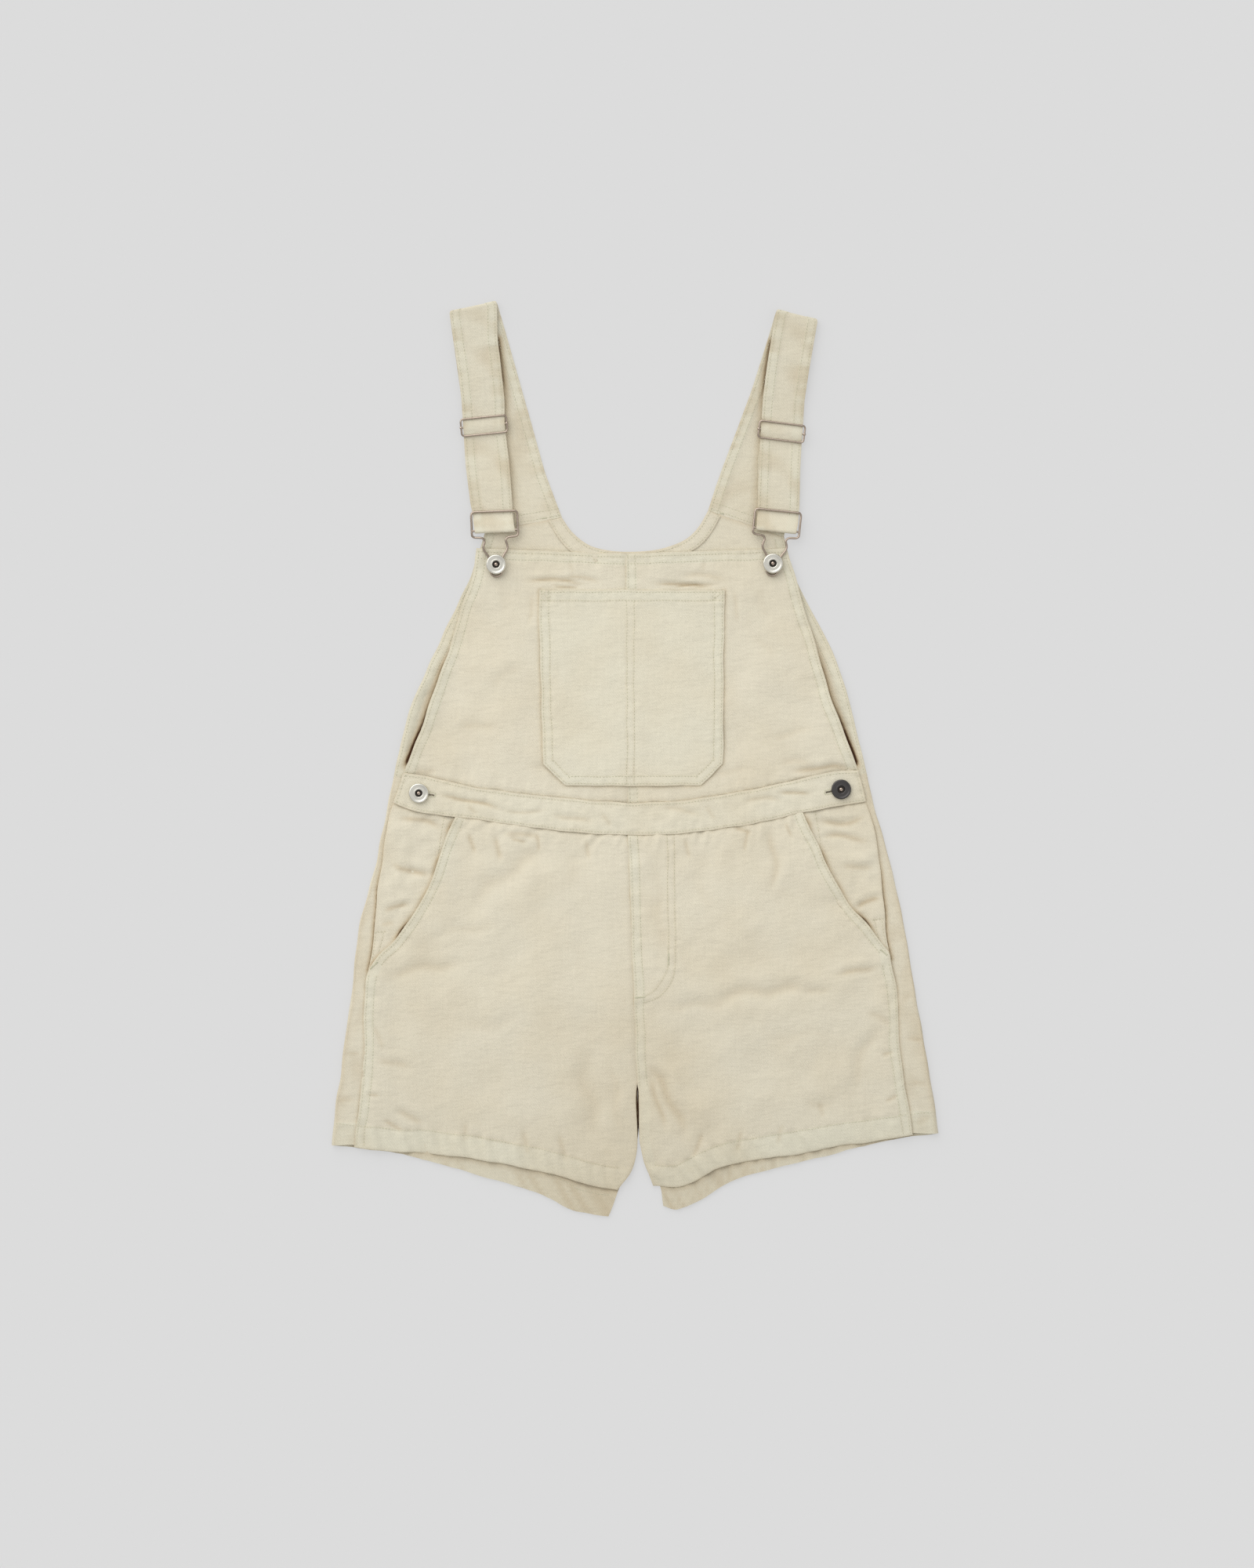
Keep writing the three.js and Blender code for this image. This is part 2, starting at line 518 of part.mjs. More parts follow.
// The waistband, with a keyhole buttonhole at each end: an eye round the button's shank and a slit.
function waistband() {
  const { left, right } = WAIST_END;
  const edges = {
    top: along(left.top, right.top, waistTop),
    bottom: along(left.bottom, right.bottom, waistBottom),
    left: line([left.top, waistTop(left.top)], [left.bottom, waistBottom(left.bottom)]),
    right: line([right.top, waistTop(right.top)], [right.bottom, waistBottom(right.bottom)]),
  };
  const band = panel(edges, { columns: 34, rows: 2, height: bandHeight, thickness: BAND_CLOTH });
  const holes = ["left", "right"].map((side) => toSolid(buttonhole(side)));
  return toGeometry(holes.reduce((solid, hole) => solid.subtract(hole), toSolid(band)));
}

function buttonhole(side) {
  const inwards = side === "left" ? 1 : -1;
  const eye = SHANK_RADIUS + 0.5;
  const slit = { half: 0.9, length: 14 };
  const start = Math.asin(slit.half / eye);
  const shape = new THREE.Shape();
  shape.absarc(0, 0, eye, start, 2 * Math.PI - start, false);
  shape.lineTo(slit.length, -slit.half);
  shape.lineTo(slit.length, slit.half);
  const cutter = new THREE.ExtrudeGeometry(shape, { depth: 12, bevelEnabled: false, curveSegments: 6 });
  cutter.rotateZ(inwards > 0 ? -0.12 : Math.PI - 0.12 * inwards);
  cutter.translate(HIP_BUTTON[side].x, HIP_BUTTON[side].y, 0);
  return cutter;
}

// Front of the shorts

function front(side) {
  const outside = edge(POCKET_EDGE[side], SIDE_SEAM[side]);
  const inside = edge(CENTRE_FRONT, INSEAM[side]);
  const [left, right] = side === "left" ? [outside, inside] : [inside, outside];
  const edges = {
    top: along(left.getPointAt(0).x, right.getPointAt(0).x, waistBottom),
    bottom: edge(FRONT_HEM[side]),
    left,
    right,
  };
  return panel(edges, {
    columns: 11,
    rows: 17,
    bands: {
      bottom: HEM_DEPTH,
      left: SEAM_BAND,
      right: side === "left" ? undefined : SEAM_BAND,
    },
    height: (x, y) => frontHeight(side, x, y),
  });
}

// The panel inside the hip-pocket scoop. It runs on under the scooped edge by UNDER.
function pocketBearer(side) {
  const UNDER = 13;
  const sign = side === "left" ? 1 : -1;
  const outside = edge(BEARER_SIDE[side]);
  const under = POCKET_EDGE[side].slice(0, -2).map(([x, y], i) => {
    const inner = x + sign * UNDER;
    return [inner, i ? y + 3 : waistBottom(inner)];
  });
  const inside = edge(under);
  const [left, right] = side === "left" ? [outside, inside] : [inside, outside];
  const edges = {
    top: along(left.getPointAt(0).x, right.getPointAt(0).x, waistBottom),
    bottom: line(left.getPointAt(1).toArray(), right.getPointAt(1).toArray()),
    left,
    right,
  };
  return panel(edges, { columns: 7, rows: 13, height: (x, y) => bearerHeight(side, x, y), thickness: 1 });
}

// Back

// A back panel lies on the floor, turns up round the side and runs in again as a flap: to the side seam
// below the placket, and loose under the pocket bearer above it.
function back(side) {
  const sign = side === "left" ? 1 : -1;
  const outside = edge(OUTER_SIDE[side]);
  const centre = edge(CENTRE_BACK, BACK_INSEAM[side]);
  const seam = edge(SIDE_SEAM[side]);
  const hem = edge(BACK_HEM[side]);
  const [x0, x1] = [outside.getPointAt(0).x, centre.getPointAt(0).x];
  const top = along(x0, x1, () => CENTRE_BACK[0][1]);
  const bottom = side === "left" ? hem : { getPointAt: (t) => hem.getPointAt(1 - t) };
  const edges = { top, bottom, left: outside, right: centre };
  const down = outside.getLength();
  const rows = places(down, 15, undefined, HEM_DEPTH);
  const outer = [];
  const inner = [];
  rows.forEach((row) => {
    const rim = outside.getPointAt(row.t);
    const radius = foldRadius(rim.y);
    const turn = radius + CLOTH / 2;
    const hemRise = row.band ? SEAM_RISE / 2 : 0;
    const outRow = [];
    const inRow = [];
    const put = (x, y, z, nx, nz, outRise, inRise) => {
      const o = CLOTH / 2 + outRise;
      const i = CLOTH / 2 + inRise;
      outRow.push(new THREE.Vector3(x + nx * o, y, z + nz * o));
      inRow.push(new THREE.Vector3(x - nx * i, y, z - nz * i));
    };
    const across = rim.distanceTo(centre.getPointAt(row.t));
    const FLAT = 8; // places across the flat part, closer together at the inseam
    for (let k = 0; k <= FLAT; k++) {
      const u = THREE.MathUtils.lerp(1 - SEAM_GAP / 2 / across, turn / across, (k / FLAT) ** 1.7);
      const p = patchPoint(edges, u, row.t);
      put(p.x, p.y, BACK_MID, 0, -1, 0, hemRise);
    }
    const middle = { x: rim.x + sign * turn, z: BACK_MID + radius };
    for (let k = 1; k <= 4; k++) {
      const angle = -Math.PI / 2 + (Math.PI * k) / 5;
      const nx = -sign * Math.cos(angle);
      const nz = Math.sin(angle);
      put(middle.x + nx * radius, rim.y, middle.z + nz * radius, nx, nz, 0, hemRise);
    }
    const seamPoint = seam.getPointAt(Math.max(0, seamShare(seam, rim.y)));
    const looseX = rim.x + sign * flapReach(rim.y);
    const loose = { x: looseX, y: Math.min(rim.y, waistTop(looseX) - 2) };
    const joined = ease(180, 192, -rim.y);
    const end = {
      x: THREE.MathUtils.lerp(loose.x, seamPoint.x - sign * SEAM_GAP / 2, joined),
      y: row.t > 0.97 ? seamPoint.y : loose.y,
    };
    const flapZ = flapHeight(rim.y);
    for (let k = 0; k <= 2; k++) {
      const t = k / 2;
      put(
        THREE.MathUtils.lerp(middle.x, end.x, t), THREE.MathUtils.lerp(rim.y, end.y, t), flapZ, 0, 1,
        row.band ? hemRise : 0, 0,
      );
    }
    outer.push(outRow);
    inner.push(inRow);
  });
  return wall(outer, inner);
}

// How far along the side seam a height y lies, from 0 at its top to 1 at the hem.
function seamShare(seam, y) {
  const first = seam.getPointAt(0).y;
  const last = seam.getPointAt(1).y;
  return THREE.MathUtils.clamp((first - y) / (first - last), 0, 1);
}

// The back bib lies flat on the floor. Its upper edge is the left strap seam, the neckline and the right one.
function backBib() {
  const a = ARMHOLE.left[0];
  const b = ARMHOLE.right[0];
  const neck = edge(NECKLINE);
  const topEdge = {
    getPointAt(t) {
      const share = 0.22;
      if (t < share) return new THREE.Vector2(...a).lerp(neck.getPointAt(0), t / share);
      if (t > 1 - share) return new THREE.Vector2(...b).lerp(neck.getPointAt(1), (1 - t) / share);
      return neck.getPointAt((t - share) / (1 - 2 * share));
    },
  };
  const edges = {
    top: topEdge,
    bottom: line(ARMHOLE.left[9], ARMHOLE.right[9]),
    left: edge(ARMHOLE.left),
    right: edge(ARMHOLE.right),
  };
  return panel(edges, {
    columns: 16, rows: 8, bands: { left: SEAM_BAND, right: SEAM_BAND }, height: () => BACK_MID,
  });
}

// The stitched band inside the neckline, lying on the back bib.
function neckFacing() {
  const neck = edge(NECKLINE);
  const STEPS = 20;
  const thickness = 1;
  const z = CLOTH + LAYER_GAP;
  const outer = [];
  const inner = [];
  for (let k = 0; k <= STEPS; k++) {
    const t = k / STEPS;
    const p = neck.getPointAt(t);
    const d = neck.getTangentAt(t);
    const q = { x: p.x + d.y * NECK_BAND, y: p.y - d.x * NECK_BAND };
    const near = { x: p.x + d.y * 0.4, y: p.y - d.x * 0.4 };
    outer.push([near, q].map((r) => new THREE.Vector3(r.x, r.y, z + thickness)));
    inner.push([near, q].map((r) => new THREE.Vector3(r.x, r.y, z)));
  }
  return wall(outer, inner);
}

// Straps

// One strap as a run of sections, each with a left end, a right end and the way its outside faces.
function strap(side) {
  const { back: backRun, fold, front: frontRun } = STRAP[side];
  const buckle = BUCKLE[side];
  const sections = [];
  const add = (l, r) => sections.push({ l: new THREE.Vector3(...l), r: new THREE.Vector3(...r) });
  backRun.forEach((s) => add([s.lx, s.ly, s.z], [s.rx, s.ry, s.z]));

  // Over the shoulder: a half circle about the fold line.
  const across = new THREE.Vector2(fold.rx - fold.lx, fold.ry - fold.ly).normalize();
  const out = new THREE.Vector2(-across.y, across.x);
  const outerTurn = SHOULDER_FOLD + CLOTH / 2;
  for (let k = 0; k <= 6; k++) {
    const angle = -Math.PI / 2 + (Math.PI * k) / 6;
    const reach = SHOULDER_FOLD * Math.cos(angle) - outerTurn;
    const z = BACK_MID + SHOULDER_FOLD * (1 + Math.sin(angle));
    add([fold.lx + out.x * reach, fold.ly + out.y * reach, z], [fold.rx + out.x * reach, fold.ry + out.y * reach, z]);
  }
  frontRun.forEach((s) => add([s.lx, s.ly, s.z], [s.rx, s.ry, s.z]));

  // Round the buckle's cross bar and back up underneath to the slider.
  const turn = THREE.MathUtils.degToRad(buckle.turn);
  const toRow = (x, y) => [
    buckle.x + x * Math.cos(turn) - y * Math.sin(turn),
    buckle.y + x * Math.sin(turn) + y * Math.cos(turn),
  ];
  const half = 17.9;
  const radius = WIRE + LAYER_GAP + CLOTH / 2;
  for (let k = 0; k <= 6; k++) {
    const angle = Math.PI / 2 - (Math.PI * k) / 6;
    const y = BUCKLE_BAR - radius * Math.cos(angle);
    const z = BAR_Z + radius * Math.sin(angle);
    add([...toRow(-half, y), z], [...toRow(half, y), z]);
  }
  const slider = SLIDER[side];
  add([...toRow(-half, BUCKLE_BAR + 7), 2.9], [...toRow(half, BUCKLE_BAR + 7), 2.9]);
  add([...toRow(-half, BUCKLE_BAR + 12), RETURN_MID], [...toRow(half, BUCKLE_BAR + 12), RETURN_MID]);
  const up = THREE.MathUtils.degToRad(slider.turn);
  const end = (x, y) => [slider.x + x * Math.cos(up) - y * Math.sin(up), slider.y + x * Math.sin(up) + y * Math.cos(up)];
  [-28, -14, 0, 3].forEach((y) => add([...end(-half, y), RETURN_MID], [...end(half, y), RETURN_MID]));
  return ribbon(sections);
}

// A wall along sections, of one thickness, with its outside on the side that the sections turn to.
function ribbon(sections) {
  const normals = sections.map((s, i) => {
    const a = sections[Math.max(i - 1, 0)];
    const b = sections[Math.min(i + 1, sections.length - 1)];
    const run = b.l.clone().add(b.r).sub(a.l).sub(a.r);
    return new THREE.Vector3().crossVectors(run, s.r.clone().sub(s.l)).normalize();
  });
  const outer = [];
  const inner = [];
  sections.forEach((s, i) => {
    const stations = [0, 0.25, 0.5, 0.75, 1];
    outer.push(stations.map((t) => s.l.clone().lerp(s.r, t).addScaledVector(normals[i], CLOTH / 2)));
    inner.push(stations.map((t) => s.l.clone().lerp(s.r, t).addScaledVector(normals[i], -CLOTH / 2)));
  });
  return wall(outer, inner);
}

// Hardware

// A closed loop of round wire with a ring of vertices at each [x, y, z] point. The loop lies nearly level.
function wireLoop(points, radius, sides) {
  const path = points.map((p) => new THREE.Vector3(...p));
  const n = path.length;
  const up = new THREE.Vector3(0, 0, 1);
  const position = [];
  const index = [];
  path.forEach((p, i) => {
    const before = p.clone().sub(path[(i + n - 1) % n]).normalize();
    const after = path[(i + 1) % n].clone().sub(p).normalize();
    const tangent = before.clone().add(after).normalize();
    const mitre = 1 / Math.max(0.7, tangent.dot(after));
    const sideways = new THREE.Vector3().crossVectors(tangent, up).normalize();
    for (let k = 0; k < sides; k++) {
      const angle = (2 * Math.PI * (k + 0.5)) / sides;
      const q = p.clone();
      q.addScaledVector(sideways, radius * mitre * Math.cos(angle)).addScaledVector(up, radius * Math.sin(angle));
      position.push(q.x, q.y, q.z);
      const a = i * sides + k;
      const b = i * sides + ((k + 1) % sides);
      const [c, d] = [((i + 1) % n) * sides + k, ((i + 1) % n) * sides + ((k + 1) % sides)];
      index.push(a, c, d, a, d, b);
    }
  });
  const geometry = new THREE.BufferGeometry();
  geometry.setAttribute("position", new THREE.Float32BufferAttribute(position, 3));
  geometry.setIndex(index);
  return facedOut(geometry);
}

// A straight round bar between two points.
function bar(a, b, radius, sides) {
  const from = new THREE.Vector3(...a);
  const to = new THREE.Vector3(...b);
  const geometry = new THREE.CylinderGeometry(radius, radius, from.distanceTo(to), sides);
  const turn = new THREE.Quaternion().setFromUnitVectors(new THREE.Vector3(0, 1, 0), to.clone().sub(from).normalize());
  return geometry.applyQuaternion(turn).translate(...from.add(to).multiplyScalar(0.5).toArray());
}

// The dungaree buckle about the button's centre: a frame for the strap, a cross bar, and a keyhole loop whose
// wide part passes over the button and whose narrow foot catches its neck.
function buckleWire() {
  const zAt = (y) => Math.min(LOOP_Z, THREE.MathUtils.mapLinear(y, BUCKLE_BAR, 0, BAR_Z, LOOP_Z));
  const half = [
    [0, BUCKLE_TOP], [17.8, BUCKLE_TOP], [19.9, BUCKLE_TOP - 0.8], [BUCKLE_HALF, BUCKLE_TOP - 3],
    [BUCKLE_HALF, 27.6], [19.8, 25.4], [17.6, 24.6], [12.6, 24.3], [10.1, 23.1], [9.5, 20.9], [10.3, 18.6],
    [10.8, 15.6], [9.9, 12.4], [7.8, 9.2], [5.9, 5.6], [5.3, 2], [5.3, -5], [4.2, -8.6], [2.2, -10.2],
  ];
  const right = half.map(([x, y]) => [x, y, zAt(y)]);
  const left = half.slice(1).reverse().map(([x, y]) => [-x, y, zAt(y)]);
  const loop = wireLoop([...right, [0, -10.6, zAt(-10.6)], ...left], WIRE, 6);
  return joined(loop, bar([-BUCKLE_HALF, BUCKLE_BAR, BAR_Z], [BUCKLE_HALF, BUCKLE_BAR, BAR_Z], WIRE, 8));
}

// The slide adjuster: a wire frame over the strap, and a lower centre bar that ends in a knob at each side.
function sliderWire() {
  const { half, rise, frameZ, barZ } = SLIDER_SIZE;
  const R = 2.2;
  const corners = [[half, rise], [half, -rise], [-half, -rise], [-half, rise]];
  const points = corners.flatMap(([x, y]) => {
    const [sx, sy] = [Math.sign(x), Math.sign(y)];
    const inX = [x - sx * R, y, frameZ];
    const inY = [x, y - sy * R, frameZ];
    const bend = [x - sx * R * 0.3, y - sy * R * 0.3, frameZ];
    return sx === sy ? [inX, bend, inY] : [inY, bend, inX];
  });
  const frame = wireLoop(points, SLIDER_WIRE, 6);
  const centre = bar([-half, 0, barZ], [half, 0, barZ], SLIDER_WIRE, 8);
  const knob = (x) => bar([x, 0, barZ - 1], [x, 0, frameZ + 1.2], 1.3, 8);
  return joined(frame, centre, knob(-half), knob(half));
}

// A tack button turned about its axis: shank, flat ring, sunk middle and the domed head of the tack.
function tackButton(foot, headFoot) {
  const RING = { thick: 3.2, sunk: 1.9, hole: 3.3, dome: 1.9 };
  const top = headFoot + RING.thick;
  const profile = [
    [0, foot], [SHANK_RADIUS, foot], [SHANK_RADIUS, headFoot], [BUTTON_RADIUS - 0.8, headFoot],
    [BUTTON_RADIUS, headFoot + 0.9], [BUTTON_RADIUS, top - 0.7], [BUTTON_RADIUS - 0.9, top],
    [RING.hole + 0.7, top - 0.2], [RING.hole, top - 0.7], [RING.hole - 0.4, top - RING.sunk],
    [RING.dome, top - RING.sunk], [RING.dome * 0.75, top - 0.9], [0, top - 0.5],
  ].map(([r, z]) => new THREE.Vector2(r, z));
  const geometry = new THREE.LatheGeometry(profile, 16);
  geometry.deleteAttribute("normal");
  geometry.deleteAttribute("uv");
  return facedOut(mergeVertices(geometry.rotateX(Math.PI / 2), 1e-4));
}

// Materials and assembly

const twill = new THREE.MeshStandardMaterial({ color: 0xdcd5bd, roughness: 0.95, metalness: 0 });
const steel = new THREE.MeshStandardMaterial({ color: 0xc9c4ba, roughness: 0.25, metalness: 1 });
const darkSteel = new THREE.MeshStandardMaterial({ color: 0x6a6560, roughness: 0.3, metalness: 1 });

const coverall = new THREE.Group();

function put(name, geometry, material = twill) {
  const mesh = new THREE.Mesh(geometry, material);
  mesh.name = name;
  coverall.add(mesh);
  return mesh;
}

function place(mesh, { x, y, turn = 0 }) {
  mesh.position.set(x, y, 0);
  mesh.rotation.z = THREE.MathUtils.degToRad(turn);
}

const bibTop = FRONT_MID + CLOTH / 2 + SEAM_RISE + 0.1;
const bibHead = LOOP_Z + WIRE + LAYER_GAP;

put("back_bib", backBib());
put("neck_facing", neckFacing());
put("bib_pocket", bibPocket());
put("waistband", waistband());
for (const side of ["left", "right"]) {
  put(`back_${side}`, back(side));
  put(`bib_${side}`, bib(side));
  put(`front_${side}`, front(side));
  put(`pocket_bearer_${side}`, pocketBearer(side));
  put(`strap_${side}`, strap(side));
  place(put(`buckle_${side}`, buckleWire(), steel), BUCKLE[side]);
  place(put(`slider_${side}`, sliderWire(), steel), SLIDER[side]);
  place(put(`bib_button_${side}`, tackButton(bibTop + LAYER_GAP, bibHead), steel), BUCKLE[side]);
  const bandTop = bandHeight(HIP_BUTTON[side].x) + BAND_CLOTH / 2;
  const flapTop = 2 * PLACKET_FOLD + CLOTH;
  place(
    put(`hip_button_${side}`, tackButton(flapTop + LAYER_GAP, bandTop + LAYER_GAP), side === "left" ? steel : darkSteel),
    HIP_BUTTON[side],
  );
}

export default coverall;
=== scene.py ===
# %% [markdown]
# # Short dungarees, laid flat
# The garment lies on its back on a plain surface: two straps folded at the shoulders and hooked on the
# front, a bib with a patch pocket, a waistband with a button at each end, and short legs. Nothing is worn
# or stuffed, so each panel is nearly level, and what makes it look like cloth is in the last few
# millimetres: hems that stand a little proud, seams that draw the cloth in, soft creases, and edges that
# lift. A cloth simulation could drop the panels, but it would not put a crease where this garment has one.
# So each panel is drawn from the same outlines as the solid it dresses, on a fine grid, and its creases,
# hems and puckers are added as heights.

# %% Load the solids
import math
from collections import namedtuple

import bpy
import numpy as np
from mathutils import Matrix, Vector
from mathutils.bvhtree import BVHTree


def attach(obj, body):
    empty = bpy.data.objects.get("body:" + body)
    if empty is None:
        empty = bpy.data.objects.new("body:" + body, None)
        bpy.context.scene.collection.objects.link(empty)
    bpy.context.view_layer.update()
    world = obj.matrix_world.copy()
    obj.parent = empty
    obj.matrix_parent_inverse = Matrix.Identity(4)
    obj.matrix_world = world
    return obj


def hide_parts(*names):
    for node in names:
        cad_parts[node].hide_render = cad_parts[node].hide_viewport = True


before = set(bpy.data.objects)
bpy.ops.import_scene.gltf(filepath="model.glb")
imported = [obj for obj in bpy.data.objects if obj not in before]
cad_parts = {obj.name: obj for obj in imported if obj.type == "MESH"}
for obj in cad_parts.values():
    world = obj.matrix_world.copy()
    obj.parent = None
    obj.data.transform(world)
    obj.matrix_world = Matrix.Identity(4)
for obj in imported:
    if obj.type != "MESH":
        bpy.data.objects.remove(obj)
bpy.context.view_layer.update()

# %% [markdown]
# ## Outlines
# A pattern maker keeps each seam once, and both panels that meet there are cut to it. The same is done
# here: every seam is one short list of points in millimetres, x to the right and y towards the shoulders,
# from the top down or from left to right. A smooth path is drawn through them when a panel is made.

# %% Seams and edges in millimetres
WAIST_TOP = [(-207, -13), (-191, -14.6), (-172, -19), (-147, -25), (-105, -31), (-60, -35.5), (-7, -39.5),
             (35, -37.8), (77, -32.5), (119, -24.5), (149, -17.5), (173, -12.4), (199, -10.2)]
WAIST_FOOT = [(-215.6, -39.9), (-207, -43.5), (-191, -48.2), (-172, -51), (-147, -53.8), (-105, -60.2),
              (-60, -65.2), (-7, -68.2), (35, -67.5), (77, -62.8), (119, -55.2), (149, -48.2), (173, -44.2),
              (199, -39.5), (205.9, -38.1)]
BIB_SIDE = {
    "left": [(-141.8, 187.9), (-144, 170), (-149.8, 149.4), (-156.4, 132.7), (-165.5, 99), (-175, 74),
             (-184.4, 46.5), (-193.8, 19.9), (-202, 0), (-207, -13)],
    "right": [(135.4, 187.9), (139.5, 174), (143.6, 160.6), (151.1, 132.7), (161.3, 102.5), (168.8, 74),
              (177.4, 46.5), (186.5, 23), (193.5, 4), (199, -10.2)],
}
BIB_CENTRE = [(-8.8, 183), (-8.2, 130), (-7.6, 75), (-7.2, 20), (-7, -39.5)]
FRONT_CENTRE = [(-6.4, -68.2), (-4.5, -118), (-3.1, -171), (-1, -218), (0, -259), (1.4, -288)]
INSEAM = {
    "left": [(1.2, -297), (1.2, -310), (1.9, -339), (0.7, -354.5), (-4.2, -370), (-15.3, -385.4)],
    "right": [(3.2, -297), (3.7, -310), (3.5, -339), (4.8, -347), (8.8, -362), (16.4, -382)],
}
POCKET_EDGE = {
    "left": [(-160.6, -52.2), (-167.6, -67.5), (-174.6, -87.8), (-180.5, -104.6), (-187.7, -120.7),
             (-194.9, -133.3), (-204.8, -148.8), (-216.2, -163.4), (-227.8, -174.5), (-235.5, -184)],
    "right": [(150.1, -48), (156.4, -63.3), (163.8, -77.3), (170.9, -94.8), (180.9, -113), (190.8, -129.2),
              (202.4, -143.1), (213.8, -156.2), (221.5, -165.5), (227.1, -173)],
}
SIDE_SEAM = {
    "left": [(-239.5, -193), (-241.3, -205), (-242.6, -226), (-242.4, -248), (-242.8, -269), (-244.2, -288),
             (-246.7, -312), (-249.5, -328), (-250.7, -347.2)],
    "right": [(229.2, -184), (233, -204), (235.2, -224), (235.6, -248), (237.6, -270), (240.8, -291.5),
              (244.4, -311), (247.9, -336.3)],
}
BEARER_SIDE = {
    "left": [(-215.6, -41.2), (-219.8, -51), (-223.4, -74.5), (-227.1, -94.8), (-229.9, -116.2),
             (-231.3, -134.8), (-232.7, -154.3), (-234.6, -168), (-236.2, -178), (-238.4, -189)],
    "right": [(205.9, -38.6), (211, -52.1), (215.2, -74.5), (219.4, -103.2), (221.5, -123.5), (222.6, -137.5),
              (223.4, -150), (224.8, -160), (226.4, -168), (228.8, -179)],
}
OUTER_SIDE = {
    "left": [(-215.4, -14), (-218.8, -29.7), (-225.7, -64.8), (-232, -92.8), (-239, -120.7), (-246.7, -148.8),
             (-250.2, -176.8), (-253, -204.8), (-256.6, -232.7), (-260.8, -260.8), (-264.6, -288.8),
             (-268.6, -316.8), (-271.2, -345)],
    "right": [(207, -14), (210.3, -29.7), (220.1, -64.8), (227.8, -92.8), (234.1, -120.7), (240.4, -148.8),
              (244.6, -176.8), (249.5, -204.8), (254.4, -232.7), (259.3, -260.8), (264.4, -288.8),
              (268.6, -316.8), (271.2, -334.5)],
}
FRONT_HEM = {
    "left": [(-250.7, -347.2), (-233.4, -349), (-213, -351.2), (-192, -351.6), (-169, -354.5),
             (-148.8, -356.6), (-117.2, -362.2), (-86.4, -368.5), (-64, -374.1), (-41, -381),
             (-15.3, -385.4)],
    "right": [(16.4, -382), (39.3, -382.6), (54.2, -376.7), (72.4, -366.8), (100, -359.6), (130.5, -355.2),
              (160.6, -350.3), (176, -346.8), (204, -343.3), (247.9, -336.3)],
}
BACK_HEM = {
    "left": [(-271.2, -345), (-242, -348.5), (-214.5, -351.9), (-187.2, -358.8), (-161.3, -365.8),
             (-138.2, -372.8), (-113, -379.8), (-90, -386.8), (-74.5, -393.8), (-56, -403.6), (-38, -407.6),
             (-24.1, -409.1)],
    "right": [(25.5, -399.3), (38.1, -402.8), (59.8, -393.8), (80.1, -380.4), (99.8, -372.8), (126.3, -365.8),
              (154.3, -358.8), (182.3, -351.8), (209.6, -344.8), (243.2, -338.2), (271.2, -334.5)],
}
BACK_CENTRE = {
    "left": [(-4, -14), (-3, -100), (-1, -200), (2, -288), (2.5, -300), (2.8, -332), (0.4, -346), (-5, -364),
             (-15, -386.8), (-24.1, -409.1)],
    "right": [(-4, -14), (-3, -100), (-1, -200), (2, -288), (2.6, -300), (3, -332), (5.4, -344), (12, -360),
              (22.4, -383), (25.5, -399.3)],
}
ARMHOLE = {
    "left": [(-134, 203), (-141, 180), (-148.8, 159.2), (-162, 131.2), (-175.3, 103.2), (-187.9, 75.2),
             (-199.8, 47.2), (-208.2, 19.2), (-211.2, 5.2), (-215.3, -13.4), (-216.2, -18)],
    "right": [(133, 198), (138.2, 176.8), (143.8, 159.2), (157.8, 131.2), (172.5, 103.2), (183.8, 75.2),
              (192.1, 47.2), (199.1, 19.2), (202.6, 5.2), (206.9, -13.4), (207.9, -18)],
}
NECKLINE = [(-65.5, 215.2), (-57, 203), (-45.1, 192.8), (-33.2, 187.9), (-12.9, 184.7), (15.7, 186),
            (33, 190.3), (46.5, 196.8), (56.7, 207), (65.2, 221.5)]
POCKET_TOP = [(-86.4, 150.6), (79.6, 150.6)]
POCKET_FOOT = [(-82.4, -4.5), (-62.4, -24.5), (58.6, -24.5), (78.6, -4.5)]
FLY = {
    "outer": [(34.6, -68.2), (35.8, -171), (36, -182), (33.9, -195.4), (28.3, -206), (19.2, -214),
              (9.7, -218)],
    "inner": [(28.6, -68.4), (29.6, -171), (29.6, -181), (27.8, -191), (23, -200.5), (15.5, -208),
              (6.7, -213)],
}
both_sides = (BIB_SIDE, INSEAM, POCKET_EDGE, SIDE_SEAM, BEARER_SIDE, OUTER_SIDE, FRONT_HEM, BACK_HEM,
              BACK_CENTRE, ARMHOLE)
print("edges with a left and a right:", len(both_sides))

# %% [markdown]
# ## Paths
# A Catmull-Rom spline goes through its points, so the numbers above stay readable: each is a place that
# the edge really passes. Two helpers are enough. One walks along a path by shares of its length, which is
# how cloth is measured; the other draws the line that runs beside a path, as a presser foot guides a
# needle.

# %% Path helpers
def smooth_path(points, step=1.0):
    """A dense line through the points."""
    p = np.array(points, float)
    p = np.vstack([2 * p[0] - p[1], p, 2 * p[-1] - p[-2]])
    stretches = []
    for a, b, c, d in zip(p, p[1:], p[2:], p[3:]):
        t = np.linspace(0, 1, max(2, int(np.linalg.norm(c - b) / step)), endpoint=False)[:, None]
        stretches.append(
            0.5 * (2 * b + (c - a) * t + (2 * a - 5 * b + 4 * c - d) * t**2 + (3 * b - a - 3 * c + d) * t**3)
        )
    return np.vstack(stretches + [p[-2][None]])


def lengths(path):
    return np.r_[0, np.cumsum(np.linalg.norm(np.diff(path, axis=0), axis=1))]


def along(path, share):
    """Points at shares, from 0 to 1, of a path's length. Share may be an array of any shape."""
    run = lengths(path)
    place = np.asarray(share) * run[-1]
    return np.stack([np.interp(place, run, column) for column in path.T], -1)


